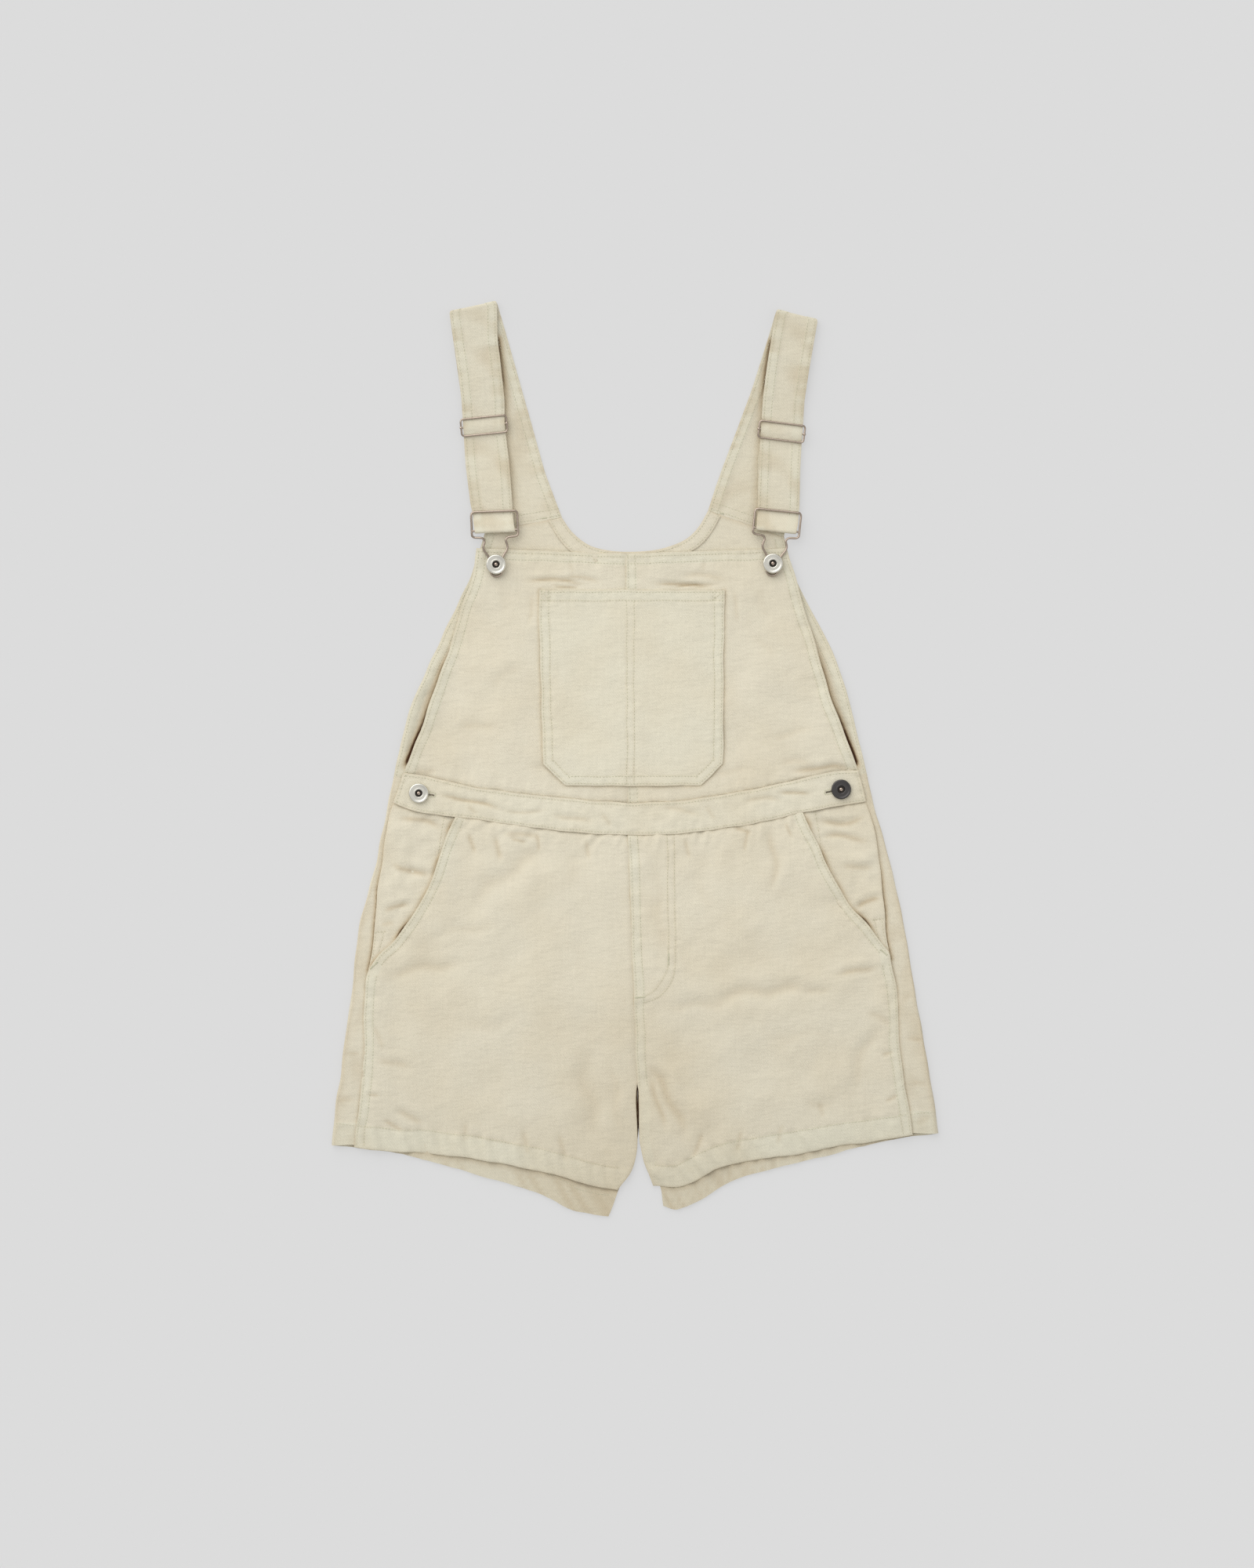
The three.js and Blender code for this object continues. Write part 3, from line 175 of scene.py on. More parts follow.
def beside(path, distance, skip=(0, 0)):
    """The line at a distance to the left hand of a path, without its first and last millimetres."""
    run = lengths(path)
    path = along(path, np.linspace(skip[0], run[-1] - skip[1], int(run[-1] / 1.5)) / run[-1])
    way = np.gradient(path, axis=0)
    way /= np.linalg.norm(way, axis=1)[:, None]
    return path + distance * np.stack([-way[:, 1], way[:, 0]], 1)


def ease(a, b, x):
    t = np.clip((x - a) / (b - a), 0, 1)
    return t * t * (3 - 2 * t)


waist_top, waist_foot = smooth_path(WAIST_TOP), smooth_path(WAIST_FOOT)
print("waist seam: %.0f mm" % lengths(waist_top)[-1])


# %% [markdown]
# ## Creases
# Pressed and folded cotton keeps two kinds of marks. Sharp creases are narrow troughs with a ridge of
# pushed up cloth beside them; they start and end softly and are seldom straight. Between them the cloth is
# never quite level. A noise texture alone gives an even rumple that looks like foil, so each crease that
# can be seen is placed as a row of a table, and a quiet sum of long waves goes under them.

# %% Crease shapes
Fold = namedtuple("Fold", "x0 y0 x1 y1 bend width height")


def fold_shape(folds, x, y):
    """Height of all the folds at x, y, and how much shade is painted in their troughs there. Troughs have
    negative heights.
    """
    z, mark = np.zeros_like(x), np.zeros_like(x)
    for f in (Fold(*row) for row in folds):
        dx, dy = f.x1 - f.x0, f.y1 - f.y0
        length = math.hypot(dx, dy)
        t = ((x - f.x0) * dx + (y - f.y0) * dy) / length**2
        off = ((y - f.y0) * dx - (x - f.x0) * dy) / length - f.bend * 4 * t * (1 - t)
        off = off + f.width * 0.35 * np.sin(t * length / 7 + f.x0)
        ends = ease(-0.12, 0.3, t) * ease(1.12, 0.7, t)
        ridge = np.exp(-(((off - 2 * f.width) / (1.3 * f.width)) ** 2))
        trough = ends * np.exp(-((off / f.width) ** 2))
        z = z + f.height * (trough - 0.4 * ends * ridge)
        mark = mark + max(0, -f.height) * min(1, 2.4 / f.width) ** 1.5 * trough**2
    return z, np.clip(mark / 1.4, 0, 1)


def fold_height(folds, x, y):
    return fold_shape(folds, x, y)[0]


def waves(x, y, size, seed, count=12):
    """A quiet, uneven swell of about unit height, whose waves are about size millimetres long."""
    rng = np.random.default_rng(seed)
    z = np.zeros_like(x)
    for turn, stretch, phase in zip(rng.uniform(0, 6.3, count), rng.uniform(0.7, 1.6, count),
                                    rng.uniform(0, 6.3, count)):
        k = 2 * math.pi / (size * stretch)
        z = z + np.sin(k * (x * math.cos(turn) + y * math.sin(turn)) + phase)
    return z / math.sqrt(count / 2)


def wobble(s, size, seed):
    """The same in one direction, for what changes along a seam."""
    return waves(s, np.zeros_like(s), size, seed, 7)

# %% [markdown]
# ## Where the creases are
# A garment that has been folded and laid out creases where a layer below it ends, where a seam holds it
# and where it was bent. Here that is at the pocket corners, beside the waistband, at the crotch and along
# the hems. A rule could scatter them, but they would sit in the wrong places, so each one is a row.

# %% Creases as x0, y0, x1, y1, bend, width and height in millimetres
FRONT_FOLDS = [
    (-100, 159.5, -44, 156, 1.5, 2.1, -1.2), (-76, 155, -48, 153.6, -1, 1.5, -0.9),
    (-58, 171, -18, 168, 2, 6, 0.5), (-66, 160, -30, 158, 2, 2.4, -0.7),
    (14, 157, 76, 156, -1.5, 2.1, -1.1), (34, 153.6, 62, 154, 1, 1.5, -0.9), (22, 168, 62, 168, 0, 7, 0.5),
    (40, 162, 84, 160, 2, 3, -0.6), (86, 152, 92, 120, 1, 3, -0.5), (-92, 148, -96, 118, 1, 3, -0.5),
    (-60, 178, -56, 164, 0, 3, -0.4), (64, 180, 60, 166, 0, 3, -0.4), (-128, 160, -112, 128, 3, 6, -0.5),
    (112, 158, 122, 120, -3, 6, -0.5), (137, -12, 196, -9, 2, 3, -1.5), (128, -2, 160, -6, 0, 4, -0.7),
    (-200, -7, -176, -12, -2, 3, -0.6), (-188, 6, -140, -8, 2, 7, 0.35), (-172, 96, -186, 40, 2, 9, 0.9),
    (166, 90, 182, 30, -2, 9, 0.9), (-118, 120, -124, 10, 6, 16, 0.7), (-150, 70, -140, -5, 4, 12, -0.6),
    (112, 120, 118, 0, -6, 16, 0.7), (140, 60, 134, -8, 3, 12, -0.6), (-40, 120, -46, 10, 4, 20, 0.5),
    (30, 100, 36, 0, -5, 22, 0.5), (-150, -136, -78, -80, 4, 8, -1.4), (-128, -139, -62, -98, 3, 12, 0.9),
    (-149, -65, -144, -86, 0, 2.8, -1.0), (-125, -68, -121, -92, 1, 3.2, -1.1),
    (-119, -67, -84, -72, 2, 3, -0.9), (-98, -74, -66, -104, 0, 9, 0.5), (-60, -78, -52, -120, 0, 8, -0.5),
    (86, -63, 104, -66, 0, 2.6, -0.9), (119, -60, 122, -122, 4, 4.5, -1.1),
    (60, -78, 64, -140, -3, 8, -0.8), (80, -70, 78, -110, 0, 7, 0.5), (18, -80, 22, -190, 2, 6, -0.6),
    (26, -221, 90, -214, -3, 6, -1.0), (70, -214, 162, -207, 3, 6.5, -1.7),
    (60, -232, 150, -224, 4, 13, 0.9), (150, -208, 176, -204, 0, 5, -0.9),
    (178, -192, 218, -185, -2, 3.4, -1.2), (-226, -196, -150, -184, 3, 5, -1.0),
    (-210, -210, -90, -226, 4, 16, 0.7), (8, -270, 46, -340, 4, 5, -1.9),
    (11, -282, 26, -334, 2, 3.4, -1.2), (22, -272, 66, -338, 4, 8, 1.2),
    (-46, -262, -30, -344, -3, 9, -1.7), (-24, -268, -14, -342, 2, 6, -0.8),
    (-18, -272, -12, -338, 2, 7, 0.9), (-64, -262, -58, -330, 0, 12, 0.6),
    (-215, -315, -188, -327, 2, 4, -1.2), (-232, -267, -200, -277, 0, 4, -0.9),
    (194, -302, 219, -238, 5, 6, -0.9), (164, -306, 168, -322, 2, 3, -0.6),
    (150, -308, 178, -308, 0, 5, -0.7), (205, -228, 232, -236, 0, 4, -0.8),
    (100, -300, 150, -318, 4, 12, 0.6), (-150, -300, -90, -322, -4, 12, 0.6),
    (-196, -120, -160, -112, 3, 9, -0.6), (150, -120, 190, -150, 4, 10, -0.5),
    (40, -130, 100, -160, 5, 20, 0.6), (-120, -180, -40, -200, -6, 22, 0.5),
    (-90, -240, -30, -250, 3, 14, -0.5), (86, -262, 150, -272, 4, 16, -0.6),
    (-112, -70, -96, -75, 0, 2, -0.8), (-90, -66, -86, -84, 1, 2.4, -0.7),
    (-44, -72, -40, -90, 0, 2.6, -0.6), (44, -70, 50, -90, 0, 2.6, -0.6), (100, -62, 98, -84, 0, 2.4, -0.6),
    (134, -56, 140, -72, 0, 2.2, -0.6), (-236, -236, -224, -262, 0, 3, -0.6),
    (-226, -322, -206, -334, 1, 2.6, -0.9), (-240, -300, -228, -300, 0, 2, -0.7),
    (232, -262, 220, -266, 0, 2.2, -0.7), (236, -300, 222, -306, 0, 2.4, -0.7),
    (-100, -330, -96, -356, 1, 3, -0.7), (-70, -334, -60, -362, 1, 3, -0.7),
    (96, -330, 88, -352, 1, 3, -0.7), (60, -332, 52, -360, -1, 3, -0.8), (132, -326, 128, -346, 0, 3, -0.6),
    (-150, -324, -152, -344, 0, 3, -0.6), (-180, -160, -120, -150, 3, 5, -0.5),
    (-160, -240, -100, -232, -3, 6, -0.5), (180, -240, 120, -250, 3, 6, -0.5),
    (-130, 60, -100, 84, 2, 5, -0.4), (130, 96, 100, 110, 2, 5, -0.4), (-160, 24, -120, 30, 2, 4, -0.5),
    (120, 20, 160, 28, -2, 4, -0.5), (-100, -6, -40, -16, 2, 4, -0.5), (40, -18, 110, -10, 2, 4, -0.5),
]
BEARER_FOLDS = [
    (-213, -52, -171, -64, 3, 3.4, -1.5), (-216, -62, -180, -72, 2, 6, 0.6),
    (-219, -92, -181, -104, -3, 3.2, -1.5), (-222, -110, -196, -116, 2, 7, 0.7),
    (-226, -136, -200, -131, 2, 3, -1.3), (-228, -150, -214, -146, 0, 3, -0.7),
    (161, -57, 208, -52, -3, 3.4, -1.5), (166, -70, 210, -74, 2, 3, -1.2), (176, -90, 214, -92, 0, 8, 0.7),
    (182, -97, 216, -101, 3, 3.6, -1.0), (196, -132, 221, -126, 2, 3, -1.6),
    (200, -116, 219, -113, 0, 5, 0.6),
]
BAND_FOLDS = [
    (-178, -33, -118, -46, 2, 2.4, -1.1), (-120, -46, -78, -47, -1, 2.2, -0.5),
    (-76, -50, -36, -58, 1, 3, -0.7), (-150, -41, -140, -50, 0, 2.2, -0.5),
    (-30, -48, -22, -62, 1, 3, -0.6), (22, -44, 60, -50, 1, 3, -0.6), (64, -40, 72, -56, 0, 3, -0.5),
    (96, -38, 132, -38, 2, 3, -0.7), (126, -30, 158, -33, 1, 2.4, -1.0),
]
SIDE_FOLDS = [
    (-250, -120, -242, -160, 0, 3, -0.6), (-262, -262, -246, -264, 0, 2.2, -0.9),
    (-266, -306, -250, -304, 0, 2.4, -0.8), (-258, -210, -246, -214, 0, 3, -0.6),
    (258, -252, 240, -250, 0, 2.4, -0.9), (264, -292, 246, -290, 0, 2.4, -0.8),
    (240, -150, 244, -190, 0, 4, -0.7), (252, -210, 238, -216, 0, 3, -0.6),
    (-236, -70, -230, -110, 0, 3, -0.5), (226, -80, 232, -120, 0, 3, -0.5),
    (-268, -330, -254, -333, 0, 3, -0.5), (266, -320, 250, -324, 0, 3, -0.5),
]
print("creases placed by hand:", len(FRONT_FOLDS) + len(BEARER_FOLDS) + len(BAND_FOLDS) + len(SIDE_FOLDS))

# %% [markdown]
# ## How the layers lie
# Cloth lies on cloth, so each layer's middle is given as a height over the floor, and what lies on top
# reads the height of what is below. The solids use nearly the same figures. Where the side of the shorts is open
# above the leg seam, the back panel turns up round the side and runs in under the front.

# %% Heights of the layers in millimetres
SHELL = 0.9  # thickness of the drawn cloth
SOLID = 1.1  # thickness of the solids' cloth, a little more than real twill has
BACK_MID, FRONT_MID, BEARER_MID, BAND_MID = SOLID / 2, 3.6, 3.2, 4.3
BAND_SHELL = 1.3
PLACKET_FOLD, SIDE_FOLD = 1.1, 1.8  # radius of the back's turn beside the placket, and below it


def side_x(side, y):
    p = np.array(OUTER_SIDE[side])
    return np.interp(-np.asarray(y), -p[:, 1], p[:, 0])


def flap_reach(y):
    return 40 + (18 - 40) * ease(36, 56, -y)


def fold_radius(y):
    return PLACKET_FOLD + (SIDE_FOLD - PLACKET_FOLD) * ease(186, 222, -y)


def flap_height(y):
    return 2 * fold_radius(y) + BACK_MID


def bearer_base(side, x, y):
    inner = np.abs(x - side_x(side, y))
    over_flap = 1 - ease(flap_reach(y) + 3, flap_reach(y) + 17, inner)
    fold = 1.2 * fold_height(BEARER_FOLDS, x, y)
    return BEARER_MID + 0.95 * over_flap + fold * (1 - 0.72 * (fold < 0) * ease(0, 0.3, over_flap))


def distance_to(path, x, y):
    """Distance in plan from each grid point to a path, and how far along it the nearest place is."""
    run = lengths(path)
    points = along(path, np.linspace(0, 1, max(4, int(run[-1] / 2))))
    flat = np.stack([x.ravel(), y.ravel()], 1)
    d2 = ((flat[:, None, :] - points[None]) ** 2).sum(2)
    nearest = d2.argmin(1)
    return np.sqrt(d2.min(1)).reshape(x.shape), (nearest * run[-1] / (len(points) - 1)).reshape(x.shape)


opening = {side: smooth_path(POCKET_EDGE[side] + SIDE_SEAM[side]) for side in ("left", "right")}


def front_base(side, x, y):
    loose = FRONT_MID + 0.5 * ease(-90, -70, y)
    lowest = -178 if side == "left" else -168
    on_bearer = bearer_base(side, x, np.maximum(y, lowest)) + 1.6
    seam_level = on_bearer + (flap_height(y) + 1.0 - on_bearer) * ease(184, 215, -y)
    return seam_level + (loose - seam_level) * ease(12, 34, distance_to(opening[side], x, y)[0])


def bib_base(x, y):
    return FRONT_MID + 0.35 * waves(x, y, 95, 4)


def band_base(x, y):
    return BAND_MID + 0.9 * ease(95, 190, np.abs(x + 4))


print("front lies %.1f mm over the back" % (FRONT_MID - BACK_MID))


# %% [markdown]
# ## Making a wall of cloth
# Solidify could thicken a sheet, but a hem has to be thicker than the panel it edges, and only on the side
# that shows. So the two faces are made as two grids from one middle surface, each with its own offset, and
# joined round the rim. The result is closed, as real cloth is. Two numbers are kept at every point for the
# finish later: how much of a seam lies there, and how much shade is painted there.

# %% Closed wall from a grid
def normals_of(grid):
    n = np.cross(np.gradient(grid, axis=0), np.gradient(grid, axis=1))
    return n / np.maximum(np.linalg.norm(n, axis=2, keepdims=True), 1e-9)


def add_mesh(name, points, quads, marks=()):
    """A mesh object with its faces outwards. Points are in millimetres, the mesh is in metres."""
    points, quads = np.asarray(points, float), np.asarray(quads, int)
    a, b, c, d = (points[quads[:, k]] for k in range(4))
    volume = (a * np.cross(b, c)).sum() + (a * np.cross(c, d)).sum()
    if volume < 0:
        quads = quads[:, ::-1]
    mesh = bpy.data.meshes.new(name)
    mesh.vertices.add(len(points))
    mesh.vertices.foreach_set("co", (points * 0.001).ravel())
    mesh.loops.add(quads.size)
    mesh.loops.foreach_set("vertex_index", quads.ravel())
    mesh.polygons.add(len(quads))
    mesh.polygons.foreach_set("loop_start", np.arange(0, quads.size, 4))
    mesh.polygons.foreach_set("use_smooth", np.ones(len(quads), bool))
    mesh.update(calc_edges=True)
    mesh.validate()
    for mark, values in dict(marks).items():
        mesh.attributes.new(mark, "FLOAT", "POINT").data.foreach_set("value", np.ravel(values))
    mesh.set_sharp_from_angle(angle=math.radians(62))
    obj = bpy.data.objects.new(name, mesh)
    bpy.context.scene.collection.objects.link(obj)
    return obj


LOWEST = 0.04  # nothing of the cloth comes nearer to the floor than this


def wall(name, middle, up, rise_out, rise_in, seam, painted_shade, shell=SHELL):
    """Two faces from a middle grid. Up turns the outside to the grid's other side when it is -1."""
    n = normals_of(middle) * up
    outer = middle + n * (shell / 2 + rise_out)[..., None]
    inner = middle - n * (shell / 2 + rise_in)[..., None]
    for side in (outer, inner):
        side[..., 2] = np.maximum(side[..., 2], LOWEST)
    rows, cols = middle.shape[:2]
    i, j = np.meshgrid(np.arange(rows - 1), np.arange(cols - 1), indexing="ij")
    a = (i * cols + j).ravel()
    front = np.stack([a, a + 1, a + cols + 1, a + cols], 1)
    half = rows * cols
    back = front[:, ::-1] + half
    rim = np.r_[np.arange(cols - 1), np.arange(rows - 1) * cols + cols - 1,
                (rows - 1) * cols + np.arange(cols - 1, 0, -1), np.arange(rows - 1, 0, -1) * cols]
    after = np.roll(rim, -1)
    edge = np.stack([rim, rim + half, after + half, after], 1)
    points = np.vstack([outer.reshape(-1, 3), inner.reshape(-1, 3)])
    # The painted shade is kept off faces that look down.
    lit = [painted_shade * ease(-0.7, -0.3, way * n[..., 2]) for way in (1, -1)]
    marks = {"seam": np.r_[seam.ravel(), seam.ravel()], "painted_shade": np.r_[lit[0].ravel(), lit[1].ravel()]}
    return add_mesh(name, points, np.vstack([front, back, edge]), marks)


# %% [markdown]
# ## Making a panel
# A panel has four edges. A Coons patch fills them with a grid that follows all four, so the grid lines run
# the way the seams do and a hem is a few grid lines at a fixed distance from its edge. Each row of
# stitching presses the cloth down in a narrow groove and draws it in here and there, which shows as
# puckers. Those are most of what tells the eye that a seam is sewn.

# %% Panel from four edges
SEAM, HEM = 9.5, 20
FELLED = (2.2, 8.6)  # how far the twin rows of a felled seam are from its edge
GROOVE_DEPTH, GROOVE_WIDTH = 0.26, 1.8  # the dip along a row of stitching
ROW_SHADE, ROW_REACH = 0.26, 1.1  # painted shade beside a row of stitching, and how far out it reaches
EDGE_SHADE, EDGE_REACH = 0.38, 1.3  # the same beside the edge of a piece


def places(length, count, first, last):
    """Distances across several lengths: close together near a hemmed edge, evenly spread between."""
    def near(band):
        close = [0, 0.5, 1.5] + list(np.arange(3.5, band - 1, 2))
        return np.array(close + ([band - 0.5, band + 0.5] if band else []))
    a, b = near(first), near(last)
    length = np.asarray(length, float)[:, None]
    middle = a[-1] + (length - a[-1] - b[-1]) * np.linspace(0, 1, count + 1)[1:-1]
    return np.hstack([np.tile(a, (len(length), 1)), middle, length - b[::-1]])


def patch(top, foot, left, right, u, v):
    t, f, l, r = along(top, u), along(foot, u), along(left, v), along(right, v)
    u, v = u[..., None], v[..., None]
    corners = (1 - v) * ((1 - u) * top[0] + u * top[-1]) + v * ((1 - u) * foot[0] + u * foot[-1])
    return (1 - v) * t + v * f + (1 - u) * l + u * r - corners


def gap(a, b):
    return np.linalg.norm(a - b, axis=-1)


def wander(x, y):
    """Seams never run quite true. One slow drift in plan for all pieces keeps neighbours together."""
    much = 0.24 * ease(196, 170, y)
    return x + much * waves(x, y, 30, 301), y + much * waves(x, y, 30, 302)


TUCK_REACH, TUCK_DROP = 1.3, 0.95


def tucked(x, y, z, distance, side, where):
    """Carries an edge a millimetre on and down, so that it runs in under its neighbour."""
    end, inner, axis = {"left": (0, 1, 1), "right": (-1, -2, 1), "top": (0, 1, 0), "foot": (-1, -2, 0)}[side]
    ox, oy = (np.take(a, [end], axis) - np.take(a, [inner], axis) for a in (x, y))
    size = np.hypot(ox, oy)
    share = ease(3.4, 0.3, distance) * (where(x, y) if where else 1)
    reach = TUCK_REACH * share
    return x + reach * ox / size, y + reach * oy / size, z - TUCK_DROP * share


def groove(rows, x, y):
    """The dip along rows of stitching, deeper where the thread is tight."""
    z = np.zeros_like(x)
    for k, row in enumerate(rows):
        d, s = distance_to(row, x, y)
        tight = 0.7 + 0.6 * wobble(s, 8, 20 + k)
        z = z - GROOVE_DEPTH * tight * np.exp(-((d / GROOVE_WIDTH) ** 2))
        z = z + 0.11 * wobble(s, 7, 60 + k) * np.exp(-((d / 5) ** 2))
    return z

# %% [markdown]
# ## From grid to cut piece
# A panel on the table is shaped by its hems, its rows of stitching, what gathers it and what it lies on.
# Each of these is a height or a colour mark over the same grid, so they can simply be added. Sculpting
# would be freer, but it could not be repeated for every panel by one function.

# %% One cut piece
def panel(name, edges, base, bands=(), rows=(), folds=(), step=2.0, shell=SHELL, rise=0.5, seed=1,
          pucker=0.16, swell=0.22, shade=None, pale=None, tuck=None, rope=0.0, gathers=None):
    """One cut piece, face up. Bands gives the width of the hem or seam at an edge."""
    top, foot, left, right = edges
    band = {"top": 0, "foot": 0, "left": 0, "right": 0} | dict(bands)
    tall, wide = gap(along(top, 0.5), along(foot, 0.5)), gap(along(left, 0.5), along(right, 0.5))
    n_down, n_across = max(3, int(tall / step)), max(3, int(wide / step))
    rough = places([tall], n_down, band["top"], band["foot"])[0] / tall
    width = gap(along(left, rough), along(right, rough))
    across = places(width, n_across, band["left"], band["right"])
    u = across / width[:, None]
    height = gap(along(top, u.mean(0)), along(foot, u.mean(0)))
    down = places(height, n_down, band["top"], band["foot"]).T
    v = down / height[None]
    plan = patch(top, foot, left, right, u, v)
    x, y = plan[..., 0], plan[..., 1]
    distance = {"left": across, "right": width[:, None] - across, "top": down, "foot": height[None] - down}
    way = {"left": down, "right": down, "top": across, "foot": across}
    seam = np.zeros_like(x)
    fold, painted_shade = fold_shape(folds, x, y)
    fine = waves(x, y, 17, seed + 40) * (0.6 + 0.4 * waves(x, y, 60, seed + 41))
    quiet = swell * (waves(x, y, 46, seed) + 0.3 * fine) * ease(0, 30, wide)
    z = base(x, y) + fold + groove(rows, x, y) + quiet
    for k, (side, deep) in enumerate(band.items()):
        if deep:
            seam = np.maximum(seam, np.clip(deep + 0.5 - distance[side], 0, 1))
            pull = np.exp(-(((distance[side] - deep * 0.6) / (deep * 0.7 + 2)) ** 2))
            z = z + pucker * wobble(way[side], 13 + deep * 0.3, seed + k + 5) * pull
            slanted = wobble(way[side] + 0.35 * distance[side], 13, seed + k + 9)
            z = z + rope * slanted * ease(deep + 4, deep - 3, distance[side]) * (deep > SEAM * 1.5)
    for side, high in dict(gathers or {}).items():
        ripple = wobble(way[side] + 0.35 * distance[side], 13, seed + 15)
        ripple = ripple + 0.5 * wobble(way[side], 7, seed + 16)
        z = z + high * ripple * np.exp(-(((distance[side] - 3) / 10) ** 2))
    nearest = np.minimum.reduce(list(distance.values()))
    rounded = 0.3 * np.clip(1 - nearest / 1.2, 0, 1) ** 2
    z = np.maximum(z, shell / 2 + 0.08)
    # Painted shade in fold troughs, beside the piece's edges and rows of stitching, and from the shade passed
    # in.
    painted_shade = np.maximum(painted_shade, EDGE_SHADE * np.exp(-nearest / EDGE_REACH))
    for row in rows:
        off = distance_to(row, x, y)[0]
        painted_shade = np.maximum(painted_shade, ROW_SHADE * np.exp(-((off / ROW_REACH) ** 2)))
    if shade:
        painted_shade = np.maximum(painted_shade, shade(x, y))
    if pale:
        seam = np.maximum(seam, pale(x, y))
    for side, where in dict(tuck or {}).items():
        x, y, z = tucked(x, y, z, distance[side], side, where)
    x, y = wander(x, y)
    return wall(name, np.dstack([x, y, z]), -1, rise * seam - rounded, -rounded, seam, painted_shade, shell)


def straight(a, b):
    return np.array([a, b], float)


def part_between(path, x0, x1):
    """The stretch of a left-to-right path between two x values."""
    x = np.linspace(x0, x1, 200)
    return np.stack([x, np.interp(x, path[:, 0], path[:, 1])], 1)


# %% [markdown]
# ## The bib
# The front bib is two pieces felled together at the centre, hemmed at the top and sides. Low down, its
# sides have drawn away from the back and stand up a little, so a dark slit shows along the armhole. The
# edge is lifted, and the back's hem opposite too, so there is a real opening. In the photo no light
# reaches into it, so the cloth at its bottom is darkened as well; see in_the_slit.

# %% Front bib
cloth, stitch_rows, cuts = {}, [], {}


def sew(piece, *rows, face=1, under=50):
    """Notes rows of stitching for a piece: face -1 is its underside, and under is a height to look below."""
    stitch_rows.extend((piece, row, face, under * face * 0.001) for row in rows)
    return list(rows)


def outline_area(edges):
    """Area inside four edges in plan, in square metres."""
    top, foot, left, right = edges
    p = np.vstack([top, right, foot[::-1], left[::-1]])
    x, y = p[:, 0], p[:, 1]
    return abs((x * np.roll(y, -1) - y * np.roll(x, -1)).sum()) / 2e6


def between(path, low, high):
    return path[(path[:, 1] > low) & (path[:, 1] < high)]


bib_centre = smooth_path(BIB_CENTRE)
bib_side = {side: smooth_path(BIB_SIDE[side]) for side in BIB_SIDE}
pocket_outline = np.array([POCKET_TOP[0], *POCKET_FOOT, POCKET_TOP[1]], float)


def painted_shade_round_pocket(x, y):
    """Painted shade on the bib just beside the pocket's edge."""
    return 0.5 * np.exp(-((distance_to(pocket_outline, x, y)[0] / 1.9) ** 2))


def lifted_edge(side, x, y):
    """How far the bib's side stands up beside the dark slit."""
    d = distance_to(bib_side[side], x, y)[0]
    return 2.2 * np.exp(-((d / 9) ** 2)) * ease(118, 60, y) * ease(-14, 6, y)


for side, sign in (("left", 1), ("right", -1)):
    left, right = (bib_side["left"], bib_centre) if side == "left" else (bib_centre, bib_side["right"])
    edges = (straight(left[0], right[0]), part_between(waist_top, left[-1][0], right[-1][0]), left, right)
    name = "bib_" + side
    rows = sew(name, beside(bib_side[side], 2.5 * sign, (3, 2)), beside(bib_side[side], 8.5 * sign, (3, 2)),
               beside(edges[0], -3, (2, 2)), beside(edges[0], -9, (2, 2)))
    if side == "right":
        for line in (beside(bib_centre, d) for d in FELLED):
            rows += sew(name, between(line, 152, 182), between(line, -39, -26))
    cloth[name] = panel(
        name, edges, lambda x, y: bib_base(x, y) + lifted_edge(side, x, y),
        bands={"top": SEAM + 1, "left": SEAM + 0.5} | ({"right": SEAM} if side == "right" else {}),
        rows=rows, folds=FRONT_FOLDS, seed=11 + sign, swell=0.3, pucker=0.24,
        tuck={"foot": None} | ({"right": None} if side == "left" else {}), gathers={"foot": 0.3, "top": 0.12},
        shade=painted_shade_round_pocket)
    cuts[name] = outline_area(edges)
print("bib halves:", {k: len(cloth[k].data.polygons) for k in ("bib_left", "bib_right")})

# %% [markdown]
# ## The bib pocket
# A patch pocket lies on the bib, so its height is the bib's height and one layer more. Its top is a turned
# hem with a stitched triangle in each corner, its lower corners are cut off, and two rows down the middle
# divide it.

# %% Bib pocket
pocket_edges = (straight(*POCKET_TOP), np.array(POCKET_FOOT, float),
                straight(POCKET_TOP[0], POCKET_FOOT[0]), straight(POCKET_TOP[1], POCKET_FOOT[-1]))
rows = sew(
    "bib_pocket", beside(pocket_outline, 2, (1, 1)), beside(pocket_outline, 8.5, (1, 1)),
    beside(pocket_edges[0], -2, (2, 2)), beside(pocket_edges[0], -9.5, (2, 2)),
    straight((-7.4, 140), (-7.4, -22)), straight((-1, 140), (-1, -22)),
    straight((-84.6, 149), (-76.5, 141.5)), straight((-76.3, 148.6), (-76.3, 141)),
    straight((77.6, 149), (69.5, 141.5)), straight((69.3, 148.6), (69.3, 141)))
cloth["bib_pocket"] = panel(
    "bib_pocket", pocket_edges, lambda x, y: bib_base(x, y) + 1.5, bands={"top": SEAM}, rows=rows,
    folds=[(-60, 60, -56, 0, 4, 14, 0.5), (30, 120, 40, 30, 4, 18, 0.5), (-50, 134, 50, 131, -2, 8, -0.4),
           (-30, 20, 30, 5, 4, 10, -0.4), (-76, 60, -70, 90, 0, 6, -0.4)],
    rise=0.35, seed=31, swell=0.25,
    pale=lambda x, y: 0.6 + 0.4 * ease(10.5, 9, distance_to(pocket_outline, x, y)[0]))
cuts["bib_pocket"] = outline_area(pocket_edges)
print("pocket cut: %.4f m2" % cuts["bib_pocket"])

# %% [markdown]
# ## Waistband
# A doubled band, stitched close to both edges, with a keyhole buttonhole at each end: a round eye for the
# button's shank and a slit that lets it in. The holes are cut through with a Boolean, because the eye has
# to be open for the button to stand in it.

# %% Waistband
HIP_BUTTON = {"left": (-193.2, -31.0), "right": (183.8, -27.6)}
band_ends = [straight(WAIST_TOP[0], WAIST_FOOT[0]), straight(WAIST_TOP[-1], WAIST_FOOT[-1])]


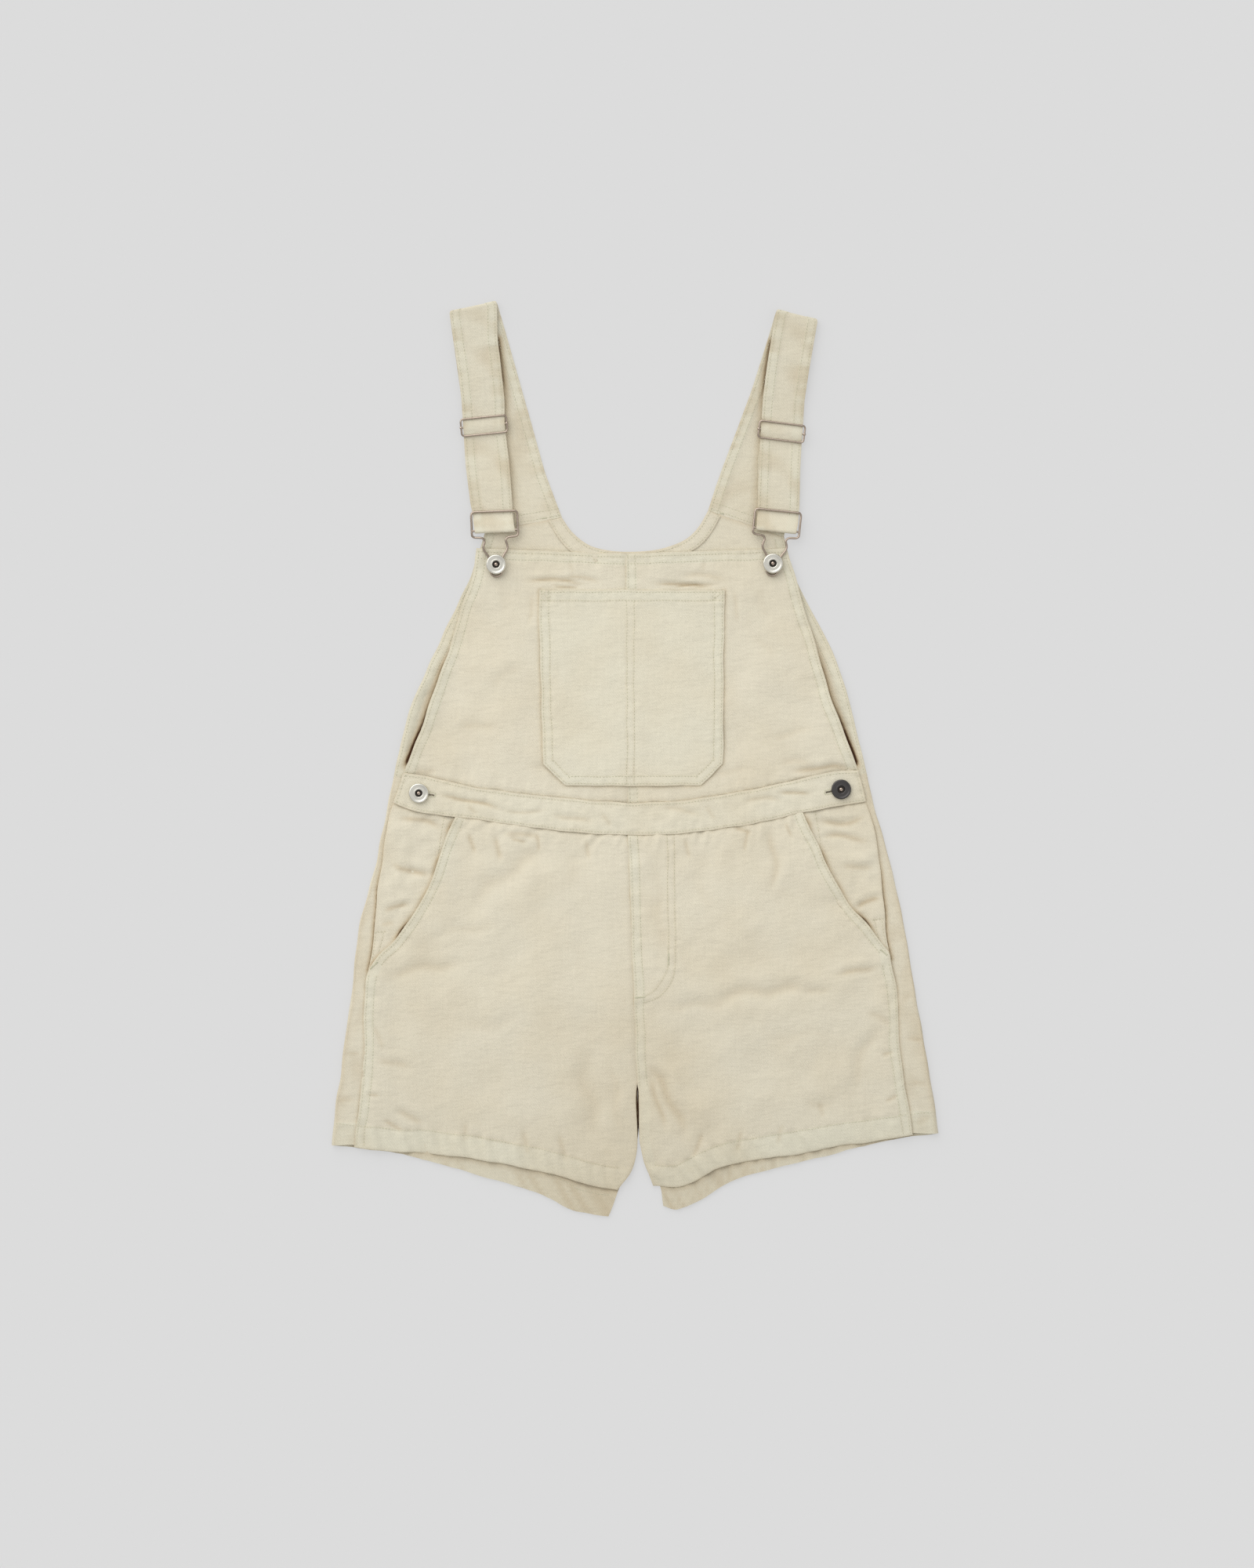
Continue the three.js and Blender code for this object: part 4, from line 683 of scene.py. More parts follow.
def band_crumple(x, y):
    """The band was sewn a little long, so it is crossed by short slanted ripples."""
    still = np.minimum.reduce([ease(9, 24, np.hypot(x - bx, y - by)) for bx, by in HIP_BUTTON.values()])
    return band_base(x, y) + still * (0.22 * wobble(x + 0.4 * y, 14, 43) + 0.14 * waves(x, y, 12, 44))


rows = sew("waistband", beside(waist_top, -2.2, (3, 3)), beside(waist_foot, 2.2, (3, 3)),
           beside(band_ends[0], 2.4, (2, 2)), beside(band_ends[1], -2.4, (2, 2)))
waistband = panel("waistband", (waist_top, waist_foot, *band_ends), band_crumple, rows=rows,
                  folds=BAND_FOLDS, step=1.6, shell=BAND_SHELL, seed=41, swell=0.14,
                  rise=0.0, pale=lambda x, y: 0.5)
cuts["waistband"] = outline_area((waist_top, waist_foot, *band_ends))

# %% [markdown]
# ## Buttonholes
# A keyhole buttonhole is cut after the band is made, and so it is here. Its outline is drawn in plan,
# raised to a small prism and taken away from the band. Leaving faces out of the grid would be simpler, but
# it would give the hole a jagged edge.

# %% Buttonholes cut through the band
def keyhole(side, grow=0.0):
    """Outline of the buttonhole: the eye, then the slit towards the middle of the garment."""
    tilt = -0.14 if side == "left" else math.pi + 0.2
    eye, half, length = 3.0 + grow, 0.8 + grow, 14.0 + grow
    start = math.asin(half / eye)
    a = np.linspace(start, 2 * math.pi - start, 22)
    p = np.vstack([np.stack([eye * np.cos(a), eye * np.sin(a)], 1), [[length, -half], [length, half]]])
    turn = np.array([[math.cos(tilt), -math.sin(tilt)], [math.sin(tilt), math.cos(tilt)]])
    return p @ turn.T + HIP_BUTTON[side]


def prism(name, outline, low, high):
    n = len(outline)
    points = np.vstack([np.c_[outline, np.full(n, low)], np.c_[outline, np.full(n, high)]]) * 0.001
    mesh = bpy.data.meshes.new(name)
    sides = [(k, (k + 1) % n, (k + 1) % n + n, k + n) for k in range(n)]
    mesh.from_pydata(points.tolist(), [], [tuple(range(n))[::-1], tuple(range(n, 2 * n)), *sides])
    obj = bpy.data.objects.new(name, mesh)
    bpy.context.scene.collection.objects.link(obj)
    return obj


def settled(obj):
    """Turns what the modifiers make into the object's own mesh and removes them."""
    depsgraph = bpy.context.evaluated_depsgraph_get()
    mesh = bpy.data.meshes.new_from_object(obj.evaluated_get(depsgraph))
    obj.modifiers.clear()
    obj.data = mesh
    return obj


for side in ("left", "right"):
    cutter = prism("buttonhole_" + side, keyhole(side), 1.0, 9.0)
    cut = waistband.modifiers.new("buttonhole", "BOOLEAN")
    cut.operation, cut.solver, cut.object = "DIFFERENCE", "EXACT", cutter
    settled(waistband)
    bpy.data.objects.remove(cutter)
cloth["waistband"] = waistband
print("waistband faces:", len(waistband.data.polygons))

# %% [markdown]
# ## Front of the shorts
# Each front is one large panel from the waistband to the leg hem. Its upper outer corner is scooped out
# for the hand pocket. The scooped edge is a bias cut held by two rows, and it lifts a little from the
# panel below, where the thin dark line beside it is painted shadow. The right front carries the felled
# centre seam and a stitched fly.

# %% Fronts
def pocket_lift(side, x, y):
    d = distance_to(opening[side][: len(smooth_path(POCKET_EDGE[side]))], x, y)[0]
    return 0.9 * np.exp(-((d / 5) ** 2)) * ease(-176, -150, y)


for side, sign in (("left", 1), ("right", -1)):
    outside = opening[side]
    inside = smooth_path(FRONT_CENTRE + INSEAM[side])
    left, right = (outside, inside) if side == "left" else (inside, outside)
    hem = smooth_path(FRONT_HEM[side])
    edges = (part_between(waist_foot, left[0][0], right[0][0]), hem, left, right)
    name = "front_" + side
    scoop, seam_side = smooth_path(POCKET_EDGE[side]), smooth_path(SIDE_SEAM[side])
    rows = sew(name, beside(scoop, 2 * sign, (1, 4)), beside(scoop, 7.6 * sign, (1, 6)),
               beside(seam_side, 2 * sign, (0, 3)), beside(seam_side, 8.4 * sign, (0, 3)),
               beside(hem, HEM - 0.6, (1, 4)))
    if side == "right":
        rows += sew(name, *[between(beside(inside, d), -292, -68) for d in FELLED],
                    smooth_path(FLY["outer"]), smooth_path(FLY["inner"]))

    def front_height(x, y):
        return front_base(side, x, y) + pocket_lift(side, x, y) + 0.3 * waves(x, y, 110, 8)

    cloth[name] = panel(
        name, edges, front_height,
        bands={"foot": HEM, "left": SEAM} | ({"right": SEAM} if side == "right" else {}),
        rows=rows, folds=FRONT_FOLDS, seed=51 + sign, swell=0.3, pucker=0.28, rope=0.6, gathers={"top": 0.3},
        tuck={"top": None} | ({"right": lambda x, y: ease(-292, -284, y)} if side == "left" else {}))
    cuts[name] = outline_area(edges)
print("fronts:", {k: round(cuts[k], 4) for k in ("front_left", "front_right")})

# %% [markdown]
# ## Pocket bearers
# Behind each scooped pocket edge a panel closes the side. It is only held at its ends, so it sags into a
# few cross folds. Its outer edge is the open placket, where a narrow stitched facing starts low down.

# %% Pocket bearers
UNDER = 13
for side, sign in (("left", 1), ("right", -1)):
    outside = smooth_path(BEARER_SIDE[side])
    inner_points = [(x + sign * UNDER, y + 3) for x, y in POCKET_EDGE[side][:-1]]
    first_x = inner_points[0][0]
    inner_points[0] = (first_x, float(np.interp(first_x, waist_foot[:, 0], waist_foot[:, 1])))
    inside = smooth_path(inner_points)
    left, right = (outside, inside) if side == "left" else (inside, outside)
    edges = (part_between(waist_foot, left[0][0], right[0][0]), straight(left[-1], right[-1]), left, right)
    name = "pocket_bearer_" + side
    if side == "left":
        rows = sew(name, straight((-170.5, -53), (-175.5, -84)), straight((-231.5, -156), (-234.6, -177)),
                   straight((-224.8, -156), (-228.2, -171)), straight((-231.8, -155.4), (-223.8, -154.6)))
    else:
        rows = sew(name, straight((160.4, -47), (166.6, -84)), straight((220.4, -146), (224.4, -167)),
                   straight((213.6, -145), (217.6, -159)), straight((212.6, -144.4), (220.9, -143)))
    scoop_line = smooth_path(POCKET_EDGE[side])

    # Painted shadow on the bearer beside the scooped edge above it, and painted shade in the bearer's fold
    # troughs.
    def under_scoop(x, y):
        d, s = distance_to(scoop_line, x, y)
        uneven = 0.75 + 0.3 * wobble(s, 30, 66)
        shadow = 1.15 * uneven * ease(-4, 16, s) * np.exp(-((d / 2.8) ** 2))
        return np.maximum(shadow, fold_shape(BEARER_FOLDS, x, y)[1])

    cloth[name] = panel(
        name, edges, lambda x, y: bearer_base(side, x, y) + 0.16 * waves(x, y, 13, 64), rows=rows, step=1.8,
        seed=61 + sign, swell=0.3, tuck={"top": None}, shade=under_scoop, gathers={"top": 0.2})
    cuts[name] = outline_area(edges)
print("bearers:", {k: round(cuts[k], 4) for k in cuts if "bearer" in k})

# %% [markdown]
# ## Back of the shorts
# Each back lies on the floor and turns up round the side of the body. So its grid runs across the flat
# part, round a small roll, and back in along the flap that the front's side seam is sewn to. Below the
# placket the flap ends at the seam. Above it, the flap is loose under the front and carries the hip
# button.

# %% Backs
LEVEL, ROLL, FLAP = 60, 8, 13  # grid columns of the flat part, of the roll and of the flap


def back_panel(side, sign):
    outside, centre = smooth_path(OUTER_SIDE[side]), smooth_path(BACK_CENTRE[side])
    seam, hem = smooth_path(SIDE_SEAM[side]), smooth_path(BACK_HEM[side])
    foot = hem if side == "left" else hem[::-1]
    top = straight(outside[0], centre[0])
    tall = lengths(outside)[-1]
    v = places([tall], int(tall / 3), 0, HEM)[0] / tall
    rim = along(outside, v)
    radius = fold_radius(rim[:, 1])
    turn = radius + SOLID / 2
    width = gap(rim, along(centre, v))
    share = (np.linspace(0, 1, LEVEL) ** 1.3)[None]
    u = 1 + (turn / width - 1)[:, None] * share
    flat = patch(top, foot, outside, centre, u, np.tile(v[:, None], (1, u.shape[1])))
    fx, fy = flat[..., 0], flat[..., 1]
    in_hem = ease(HEM + 3, HEM - 3, (1 - v) * tall)[:, None]
    slanted = wobble(fx + 0.6 * fy, 13, 73)
    ripples = 0.45 * in_hem * (1 + np.clip(slanted, -1, 1.5))
    swell = 0.12 * (1 + np.clip(waves(fx, fy, 60, 71), -1, 1))
    level = np.dstack([flat, BACK_MID + swell + ripples])
    # Painted shade on the flat part: under the front's hem, in the slit between the legs, and over the back hem,
    # deepest in its ripples.
    front_hem = distance_to(smooth_path(FRONT_HEM[side]), fx, fy)[0]
    slit = distance_to(straight((2.6, -286), (2.8, -338)), fx, fy)[0]
    level_shade = np.maximum(0.6 * np.exp(-((front_hem / 5) ** 2)), 1.8 * np.exp(-((slit / 2.6) ** 2)))
    level_shade = np.maximum(level_shade, in_hem * (0.12 + 0.33 * np.clip(-slanted, 0, 1)))
    middle_x, middle_z = rim[:, 0] + sign * turn, BACK_MID + radius
    angle = (-math.pi / 2 + math.pi * np.arange(1, ROLL + 1) / (ROLL + 1))[None]
    roll = np.dstack([
        middle_x[:, None] - sign * radius[:, None] * np.cos(angle), np.tile(rim[:, 1:2], (1, ROLL)),
        middle_z[:, None] + radius[:, None] * np.sin(angle)])
    joined = ease(180, 192, -rim[:, 1])
    loose_x = rim[:, 0] + sign * flap_reach(rim[:, 1])
    loose_y = np.minimum(rim[:, 1], np.interp(loose_x, waist_top[:, 0], waist_top[:, 1]) - 2)
    seam_point = along(seam, np.clip((seam[0, 1] - rim[:, 1]) / (seam[0, 1] - seam[-1, 1]), 0, 1))
    end_x = loose_x + (seam_point[:, 0] + sign * 1.6 - loose_x) * joined
    end_y = loose_y + (seam_point[:, 1] - loose_y) * ease(0.93, 1, v)
    t = np.linspace(0, 1, FLAP)[None]
    fx = middle_x[:, None] + (end_x - middle_x)[:, None] * t
    fy = rim[:, 1:2] + (end_y - rim[:, 1])[:, None] * t
    fz = flap_height(rim[:, 1])[:, None] + 0 * t
    crumple = 0.45 * fold_height(SIDE_FOLDS, fx, fy) + 0.15 * waves(fx, fy, 30, 72) - 0.1
    fz = fz + crumple * ease(-150, -190, fy) + np.minimum(crumple, 0) * ease(-190, -150, fy) * 0.3
    fz = fz + 0.3 * wobble(fy + 0.6 * fx, 12, 74) * in_hem * ease(0.1, 0.4, t)
    grid = np.concatenate([level, roll, np.dstack([fx, fy, fz])], axis=1)
    hem_mark = np.clip(HEM + 0.5 - (1 - v) * tall, 0, 1)[:, None] * np.ones(grid.shape[1])
    flap = np.r_[np.zeros(LEVEL + ROLL), np.ones(FLAP)][None]
    # Painted shade round the roll, along the flap's turn and in the flap's crease troughs.
    rolled = 0.35 + 0.1 * wobble(roll[..., 1], 40, 75)
    turned = 0.35 * np.exp(-np.abs(fx - middle_x[:, None]) / 2.5)
    painted_shade = np.hstack([level_shade, rolled, np.clip(np.maximum(-crumple / 1.2, turned), 0, 1)])
    x, y = grid[..., 0], grid[..., 1]
    # Painted shadow on the flap beside the bearer's edge and along the side seam.
    placket = np.exp(-((distance_to(smooth_path(BEARER_SIDE[side]), x, y)[0] / 2.6) ** 2))
    side_seam = np.exp(-((distance_to(seam, x, y)[0] / 1.8) ** 2))
    painted_shade = np.maximum(painted_shade, flap * (placket * (0.55 + 0.75 * ease(-70, -125, y)) + 0.6 * side_seam))
    x, y = wander(x, y)
    grid = np.dstack([x, y, grid[..., 2]])
    flap_area = float((np.abs(end_x - rim[:, 0]) * np.gradient(v) * tall).sum()) / 1e6
    cuts["back_" + side] = outline_area((top, foot, outside, centre)) + flap_area
    return wall("back_" + side, grid, sign, 0.35 * hem_mark * flap, 0.4 * hem_mark * (1 - flap),
                hem_mark * (0.6 + 0.4 * flap), painted_shade)


for side, sign in (("left", 1), ("right", -1)):
    name = "back_" + side
    cloth[name] = back_panel(side, sign)
    hem = beside(smooth_path(BACK_HEM[side]), HEM - 0.5, (2, 2))
    centre = smooth_path(BACK_CENTRE[side])
    for shown in (hem[np.abs(hem[:, 0]) > 238], hem[np.abs(hem[:, 0]) < 112]):
        sew(name, shown[np.argsort(shown[:, 0])])
    sew(name, hem, face=-1)
    if side == "right":
        sew(name, *[between(beside(centre, d), -290, -16) for d in (2.4, 8.6)], face=-1)
print("backs:", {k: round(cuts[k], 4) for k in cuts if k.startswith("back")})

# %% [markdown]
# ## Back bib and neck facing
# The back bib lies flat and shows above the front bib and in the armholes. Its armholes are hemmed, and
# the hem stands up beside the dark slit. A facing follows the neckline on the inside.

# %% Back bib and facing
neck = smooth_path(NECKLINE)
armhole = {side: smooth_path(ARMHOLE[side]) for side in ARMHOLE}


def back_bib_height(x, y):
    z = BACK_MID + 0.25 * (1 + np.clip(waves(x, y, 70, 81), -1, 1))
    for side in armhole:
        d = distance_to(armhole[side], x, y)[0]
        z = z + 2.6 * np.exp(-(((d - 2) / 5.5) ** 2)) * ease(108, 60, y) * ease(-16, 2, y)
    inner = np.minimum(np.abs(x - side_x("left", -14)), np.abs(x - side_x("right", -14)))
    return z + 1.9 * ease(10, -12, y) * ease(24, 15, inner)


STRAP_SEAMS = [((-134, 203), (-65.5, 215.2)), ((65.2, 221.5), (133, 198))]


def in_the_slit(x, y):
    """Painted shade beside the bib's lifted edge, where one looks into the garment, and along the seams where
    the straps meet the back bib.
    """
    dark = np.zeros_like(x)
    for edge in bib_side.values():
        d = distance_to(edge, x, y)[0]
        dark = np.maximum(dark, np.exp(-((d / 3.9) ** 2)) * ease(114, 78, y) * ease(-13, 0, y))
    yoke = np.minimum(*(distance_to(straight(*ends), x, y)[0] for ends in STRAP_SEAMS))
    return np.maximum((1.25 + 0.95 * ease(55, 5, y)) * dark, 0.6 * np.exp(-((yoke / 1.6) ** 2)))


top = np.vstack([ARMHOLE["left"][0], neck, ARMHOLE["right"][0]])
foot = np.array([ARMHOLE["left"][-1], (-204, -18), (-196, -13.4),
                 (188, -13.4), (196, -18), ARMHOLE["right"][-1]])
edges = (top, foot, armhole["left"], armhole["right"])
rows = [beside(armhole["left"], 2.2, (1, 1)), beside(armhole["right"], -2.2, (1, 1)),
        beside(armhole["left"], 8.4, (1, 1)), beside(armhole["right"], -8.4, (1, 1))]
sew("back_bib", *rows[:2], *[row[row[:, 1] > 75] for row in rows[2:]])
sew("back_bib", *rows, face=-1)
cloth["back_bib"] = panel(
    "back_bib", edges, back_bib_height, bands={"left": SEAM, "right": SEAM}, rows=rows, step=2.6, seed=82,
    swell=0.0, shade=in_the_slit)
cuts["back_bib"] = outline_area(edges)

facing_edge = smooth_path([
    (-77.8, 212.6), (-70.6, 199.8), (-62.9, 190), (-52, 181.2), (-36, 175.8), (-12, 173.2), (16, 174.4),
    (37, 179), (51, 185.6), (60.5, 192.6), (68.8, 203), (76.4, 216.6)])
edges = (neck, facing_edge, straight(neck[0], facing_edge[0]), straight(neck[-1], facing_edge[-1]))
rows = sew("neck_facing", beside(neck, -2.2, (1, 1)), beside(facing_edge, 2.2, (1, 1)))
cloth["neck_facing"] = panel(
    "neck_facing", edges, lambda x, y: back_bib_height(x, y) + 1.25, rows=rows, seed=84, swell=0.0)
cuts["neck_facing"] = outline_area(edges)
print("back bib cut: %.4f m2" % cuts["back_bib"])

# %% [markdown]
# ## Straps
# A strap is one long strip. It is wide where it is sewn to the back, narrows towards the shoulder, folds
# over, comes down the front through the slider and under the buckle's top bar, goes round its cross bar
# and back up to the slider. The strip is given by its two edges at a few stations. Between them it is
# divided evenly and then relaxed a little, which takes out the corners without letting it pass through the
# wire.

# %% Strap stations
STRAP = {
    "left": {
        "back": [(-134, 203.1, -65.5, 215.3), (-138.5, 229, -73, 235), (-144, 256, -80.8, 256),
                 (-150, 290, -90.5, 291), (-156, 327, -101.1, 328.6), (-161, 362, -110.8, 363),
                 (-164.3, 385, -118.2, 389)],
        "fold": (-166.4, 399.8, -123.9, 409.1),
        "front": [(-162, 370.6, -123, 376, 4.3), (-157.8, 344, -119.3, 345, 5.0),
                  (-155, 318, -116.7, 320, 4.3), (-154.2, 304.4, -116.6, 308.2, 3.5),
                  (-153.6, 295.2, -116.6, 299, 5.5), (-153, 286, -115.6, 289.8, 3.5),
                  (-151.5, 262, -112.6, 265, 4.4), (-149, 242, -110.8, 243, 4.4),
                  (-147, 226, -109.8, 226.6, 3.7), (-145, 218.6, -109.4, 219.2, 3.55),
                  (-144.6, 211, -108.8, 211.6, 6.4)],
    },
    "right": {
        "back": [(65.2, 221.6, 133, 198.1), (72, 243, 136.5, 226), (78.8, 262, 141, 257), (91, 294, 146, 291),
                 (103.9, 328.6, 150.8, 327), (114.2, 361, 155.6, 358), (121, 383, 159.4, 377)],
        "fold": (126.4, 401.6, 163.4, 392.2),
        "front": [(121.4, 374, 159, 368, 4.3), (117.6, 350, 155, 345, 5.0), (114, 322, 151, 318, 4.3),
                  (112.8, 303.2, 150, 298.4, 3.5), (112.3, 294.2, 149.1, 289.5, 5.5),
                  (111.6, 285, 148.6, 280.4, 3.5), (110.6, 262, 147.4, 259, 4.4), (109.8, 241, 147, 238, 4.4),
                  (109.2, 225, 146.6, 221.4, 3.7), (109.1, 221.4, 146.1, 217.4, 3.55),
                  (108.6, 213.6, 145.5, 209.6, 6.4)],
    },
}
BUCKLE = {"left": (-124.2, 173.1, 2.2), "right": (122.8, 173.9, -6)}
SLIDER = {"left": (-135.1, 297.1, 5.9), "right": (130.7, 291.8, -7.2)}
BAR_Y, BAR_Z, WIRE = 30.5, 6.0, 1.0  # the buckle's cross bar, and the radius of its wire
SHOULDER = 1.7  # radius of the strap's turn over the shoulder
RETURN_MID = 2.05  # height of the hidden layer that runs back up to the slider
BACK_RUN, TURN = 7, 13  # stations of the back run, and of each turn
STRAP_ROWS = (2.2, 8.4)  # how far the rows of stitching are from the strap's edges


def placed(local, place):
    """Points of a piece of hardware, moved to where it lies and turned there."""
    x, y, degrees = place
    c, s = math.cos(math.radians(degrees)), math.sin(math.radians(degrees))
    p = np.array(local, float)
    out = p.copy()
    out[:, 0], out[:, 1] = x + p[:, 0] * c - p[:, 1] * s, y + p[:, 0] * s + p[:, 1] * c
    return out


def strap_stations(side):
    plan = STRAP[side]
    l = [(a, b, BACK_MID) for a, b, _, _ in plan["back"]]
    r = [(c, d, BACK_MID) for _, _, c, d in plan["back"]]
    fx, fy, gx, gy = plan["fold"]
    span = np.array([gx - fx, gy - fy]) / math.hypot(gx - fx, gy - fy)
    out = np.array([-span[1], span[0]])
    for k in range(TURN):
        a = -math.pi / 2 + math.pi * k / (TURN - 1)
        reach = SHOULDER * math.cos(a) - SHOULDER - SOLID / 2
        shy = 1.7 * max(0, math.cos(a)) ** 2  # a fold's corners are a little rounded
        z = BACK_MID + SHOULDER * (1 + math.sin(a))
        l.append((*((fx, fy) + out * reach + span * shy), z))
        r.append((*((gx, gy) + out * reach - span * shy), z))
    over = len(l)
    l += [(a, b, z) for a, b, _, _, z in plan["front"]]
    r += [(c, d, z) for _, _, c, d, z in plan["front"]]
    radius, half = WIRE + 0.85, 17.9
    under = len(l)
    for k in range(TURN):
        a = math.pi / 2 - math.pi * k / (TURN - 1)
        row = [(e, BAR_Y - radius * math.cos(a), BAR_Z + radius * math.sin(a)) for e in (-half, half)]
        for pile, point in zip((l, r), placed(row, BUCKLE[side])):
            pile.append(tuple(point))
    back_up = [(BAR_Y + 7, 2.9, BUCKLE), (BAR_Y + 12, RETURN_MID, BUCKLE)]
    back_up += [(y, RETURN_MID, SLIDER) for y in (-28, -14, 0, 3)]
    for y, z, fitting in back_up:
        for pile, point in zip((l, r), placed([(-half, y, z), (half, y, z)], fitting[side])):
            pile.append(tuple(point))
    return np.array(l), np.array(r), over, under


# %% [markdown]
# ## From stations to strips
# On a sewing table the strip is cut first and threaded after. Here it is laid through the wire from the
# start: each stretch between two stations is divided evenly, and the corners are eased out by averaging
# with the neighbours. The cloth is stiller where it is held, so ripples are weak at the slider and round
# the bar.

# %% Strap strips
def strap(side):
    """Lays one strap. Over is its first station past the shoulder, under its first round the buckle's bar."""
    l, r, over, under = strap_stations(side)
    piece = [0]
    left, right = [l[:1]], [r[:1]]
    for k in range(len(l) - 1):
        n = max(1, round(max(gap(l[k], l[k + 1]), gap(r[k], r[k + 1])) / 2.0))
        t = np.linspace(0, 1, n + 1)[1:, None]
        left.append(l[k] + (l[k + 1] - l[k]) * t)
        right.append(r[k] + (r[k + 1] - r[k]) * t)
        piece += [k + 1] * n
    left, right, piece = np.vstack(left), np.vstack(right), np.array(piece)
    for _ in range(4):
        for e in (left, right):
            e[1:-1] = (e[:-2] + 2 * e[1:-1] + e[2:]) / 4
    width = gap(left, right)
    across = places(width, 9, SEAM, SEAM)
    share = (across / width[:, None])[..., None]
    grid = left[:, None] + (right - left)[:, None] * share
    run = lengths((left + right) / 2)
    s = np.tile(run[:, None], (1, grid.shape[1]))
    on_back = (piece < BACK_RUN)[:, None]
    crown = BACK_RUN + TURN // 2  # the top of the shoulder fold
    in_slider = (piece >= over + 3) & (piece <= over + 5)
    free = np.where((piece > over) & (piece < over + 2), 1.0, 0.35)
    free = np.where(in_slider | (piece >= over + 8), 0.08, free)[:, None]
    free = np.where(on_back, 0.5, free)
    edge = np.minimum(across, width[:, None] - across)
    ripple = 0.17 * waves(s, across, 34, 91) + 0.16 * wobble(s, 12, 92) * np.exp(-((edge / 8) ** 2))
    ripple = ripple - 0.14 * sum(np.exp(-(((edge - d) / 1.6) ** 2)) for d in STRAP_ROWS)
    n = normals_of(grid)
    lift = np.where(on_back, -np.abs(ripple), ripple) * free
    grid = grid + n * lift[..., None]
    seam = np.clip(SEAM + 0.5 - edge, 0, 1)
    rounded = 0.25 * np.clip(1 - edge / 1.2, 0, 1) ** 2
    tight = ((piece > over + 7) | in_slider)[:, None]
    # Painted shade in the ripples' troughs and beside the edges, and painted shadow on the back run beside the
    # front strap's inner edge.
    painted_shade = np.clip(-ripple * 1.2, 0, 0.4) + 0.3 * np.exp(-edge / 1.4)
    inner_edge = (right if side == "left" else left)[(piece > over) & (piece <= under), :2]
    beside_front = np.exp(-((distance_to(inner_edge, grid[..., 0], grid[..., 1])[0] / 4.5) ** 2))
    beside_front = beside_front * (0.6 + 0.8 * ease(290, 350, grid[..., 1]))
    painted_shade = np.where(on_back, np.maximum(painted_shade, beside_front), painted_shade)
    name = "strap_" + side
    cloth[name] = wall(name, grid, 1, np.where(on_back | tight, 0, 0.3) * seam - rounded,
                       np.where(on_back, 0.35, 0.0) * seam - rounded, np.maximum(seam, 0.35), painted_shade)
    cuts[name] = float((np.diff(run) * (width[1:] + width[:-1]) / 2).sum()) / 1e6
    for d in STRAP_ROWS:
        for place in (np.full(len(width), d), width - d):
            row = np.array([[np.interp(at, line, points[:, c]) for c in (0, 1)]
                            for at, line, points in zip(place, across, grid)])
            behind, ahead = piece < BACK_RUN, (piece > crown) & (piece < under - 1)
            sew(name, row[behind], under=2.2)
            sew(name, row[behind], face=-1)
            bar = (piece >= over + 4) & (piece <= over + 5)
            sew(name, row[ahead & (np.cumsum(bar) == 0)], row[ahead & (piece > over + 5)])
    foot = straight(left[0, :2], right[0, :2])
    for d in (2.4, 8.6):
        sew(name, beside(foot, d, (2, 2)), under=2.2)
        sew(name, beside(foot, d, (2, 2)), face=-1)
    return width.max(), run[-1]


for side in ("left", "right"):
    print("strap %s: widest %.0f mm, %.0f mm long" % (side, *strap(side)))

# %% [markdown]
# ## Buckles and sliders
# Both are bent from round wire. A curve with a bevel depth would do, but a swept ring of points is as
# short to write, closes without a seam, and needs no conversion. The buckle's loop is wide enough for the
# button's head at the top and narrow at the foot, where it catches the neck of the button.

# %% Turned and swept bodies
def end_caps(sides, last):
    """Quads that close the first ring and the last ring of a turned or swept body."""
    caps = [[b + j, b + j + 1, b + sides - 2 - j, b + sides - 1 - j]
            for b in (0, last) for j in range(sides // 2 - 1)]
    half = len(caps) // 2
    return [quad[::-1] for quad in caps[:half]] + caps[half:]


def lathe(profile, place, sides):
    """A turned body: rows of radius and height round an upright line at place, as points and quads."""
    a = 2 * math.pi * np.arange(sides) / sides
    points = np.array([(place[0] + r * math.cos(t), place[1] + r * math.sin(t), h)
                       for r, h in profile for t in a])
    rows = len(profile) - 1
    walls = [[i * sides + k, i * sides + (k + 1) % sides, (i + 1) * sides + (k + 1) % sides,
              (i + 1) * sides + k] for i in range(rows) for k in range(sides)]
    return points, np.array(walls + end_caps(sides, rows * sides))


def tube(points, radius, closed, sides=14):
    """A round wire along points, as points and quads. It lies nearly level."""
    p = np.asarray(points, float)
    way = (np.roll(p, -1, 0) - np.roll(p, 1, 0)) if closed else np.gradient(p, axis=0)
    way /= np.linalg.norm(way, axis=1)[:, None]
    flat = np.cross(way, (0, 0, 1.0))
    flat /= np.linalg.norm(flat, axis=1)[:, None]
    up = np.cross(flat, way)
    a = 2 * math.pi * np.arange(sides) / sides
    n = len(p)
    size = np.full(n, radius) if closed else radius * np.r_[0.02, 0.6, np.ones(n - 4), 0.6, 0.02]
    spokes = flat[:, None] * np.cos(a)[:, None] + up[:, None] * np.sin(a)[:, None]
    ring = p[:, None] + size[:, None, None] * spokes
    i, k = np.meshgrid(np.arange(n if closed else n - 1), np.arange(sides), indexing="ij")
    q = np.stack([i * sides + k, i * sides + (k + 1) % sides, (i + 1) % n * sides + (k + 1) % sides,
                  (i + 1) % n * sides + k], -1).reshape(-1, 4)
    if not closed:
        q = np.vstack([q, end_caps(sides, (n - 1) * sides)])
    return ring.reshape(-1, 3), q


def gathered(name, parts):
    """Several closed bodies in one mesh."""
    points, quads, count = [], [], 0
    for p, q in parts:
        points.append(p)
        quads.append(np.asarray(q) + count)
        count += len(p)
    return add_mesh(name, np.vstack(points), np.vstack(quads))

# %% [markdown]
# ## One buckle and one slider
# The buckle is a frame that narrows into a keyhole loop, with a cross bar that the strap turns round. The
# slider is a rounded frame with a low bar between two small knobs. Both outlines are lists of places along
# the middle of the wire, and left and right differ only in where they lie.

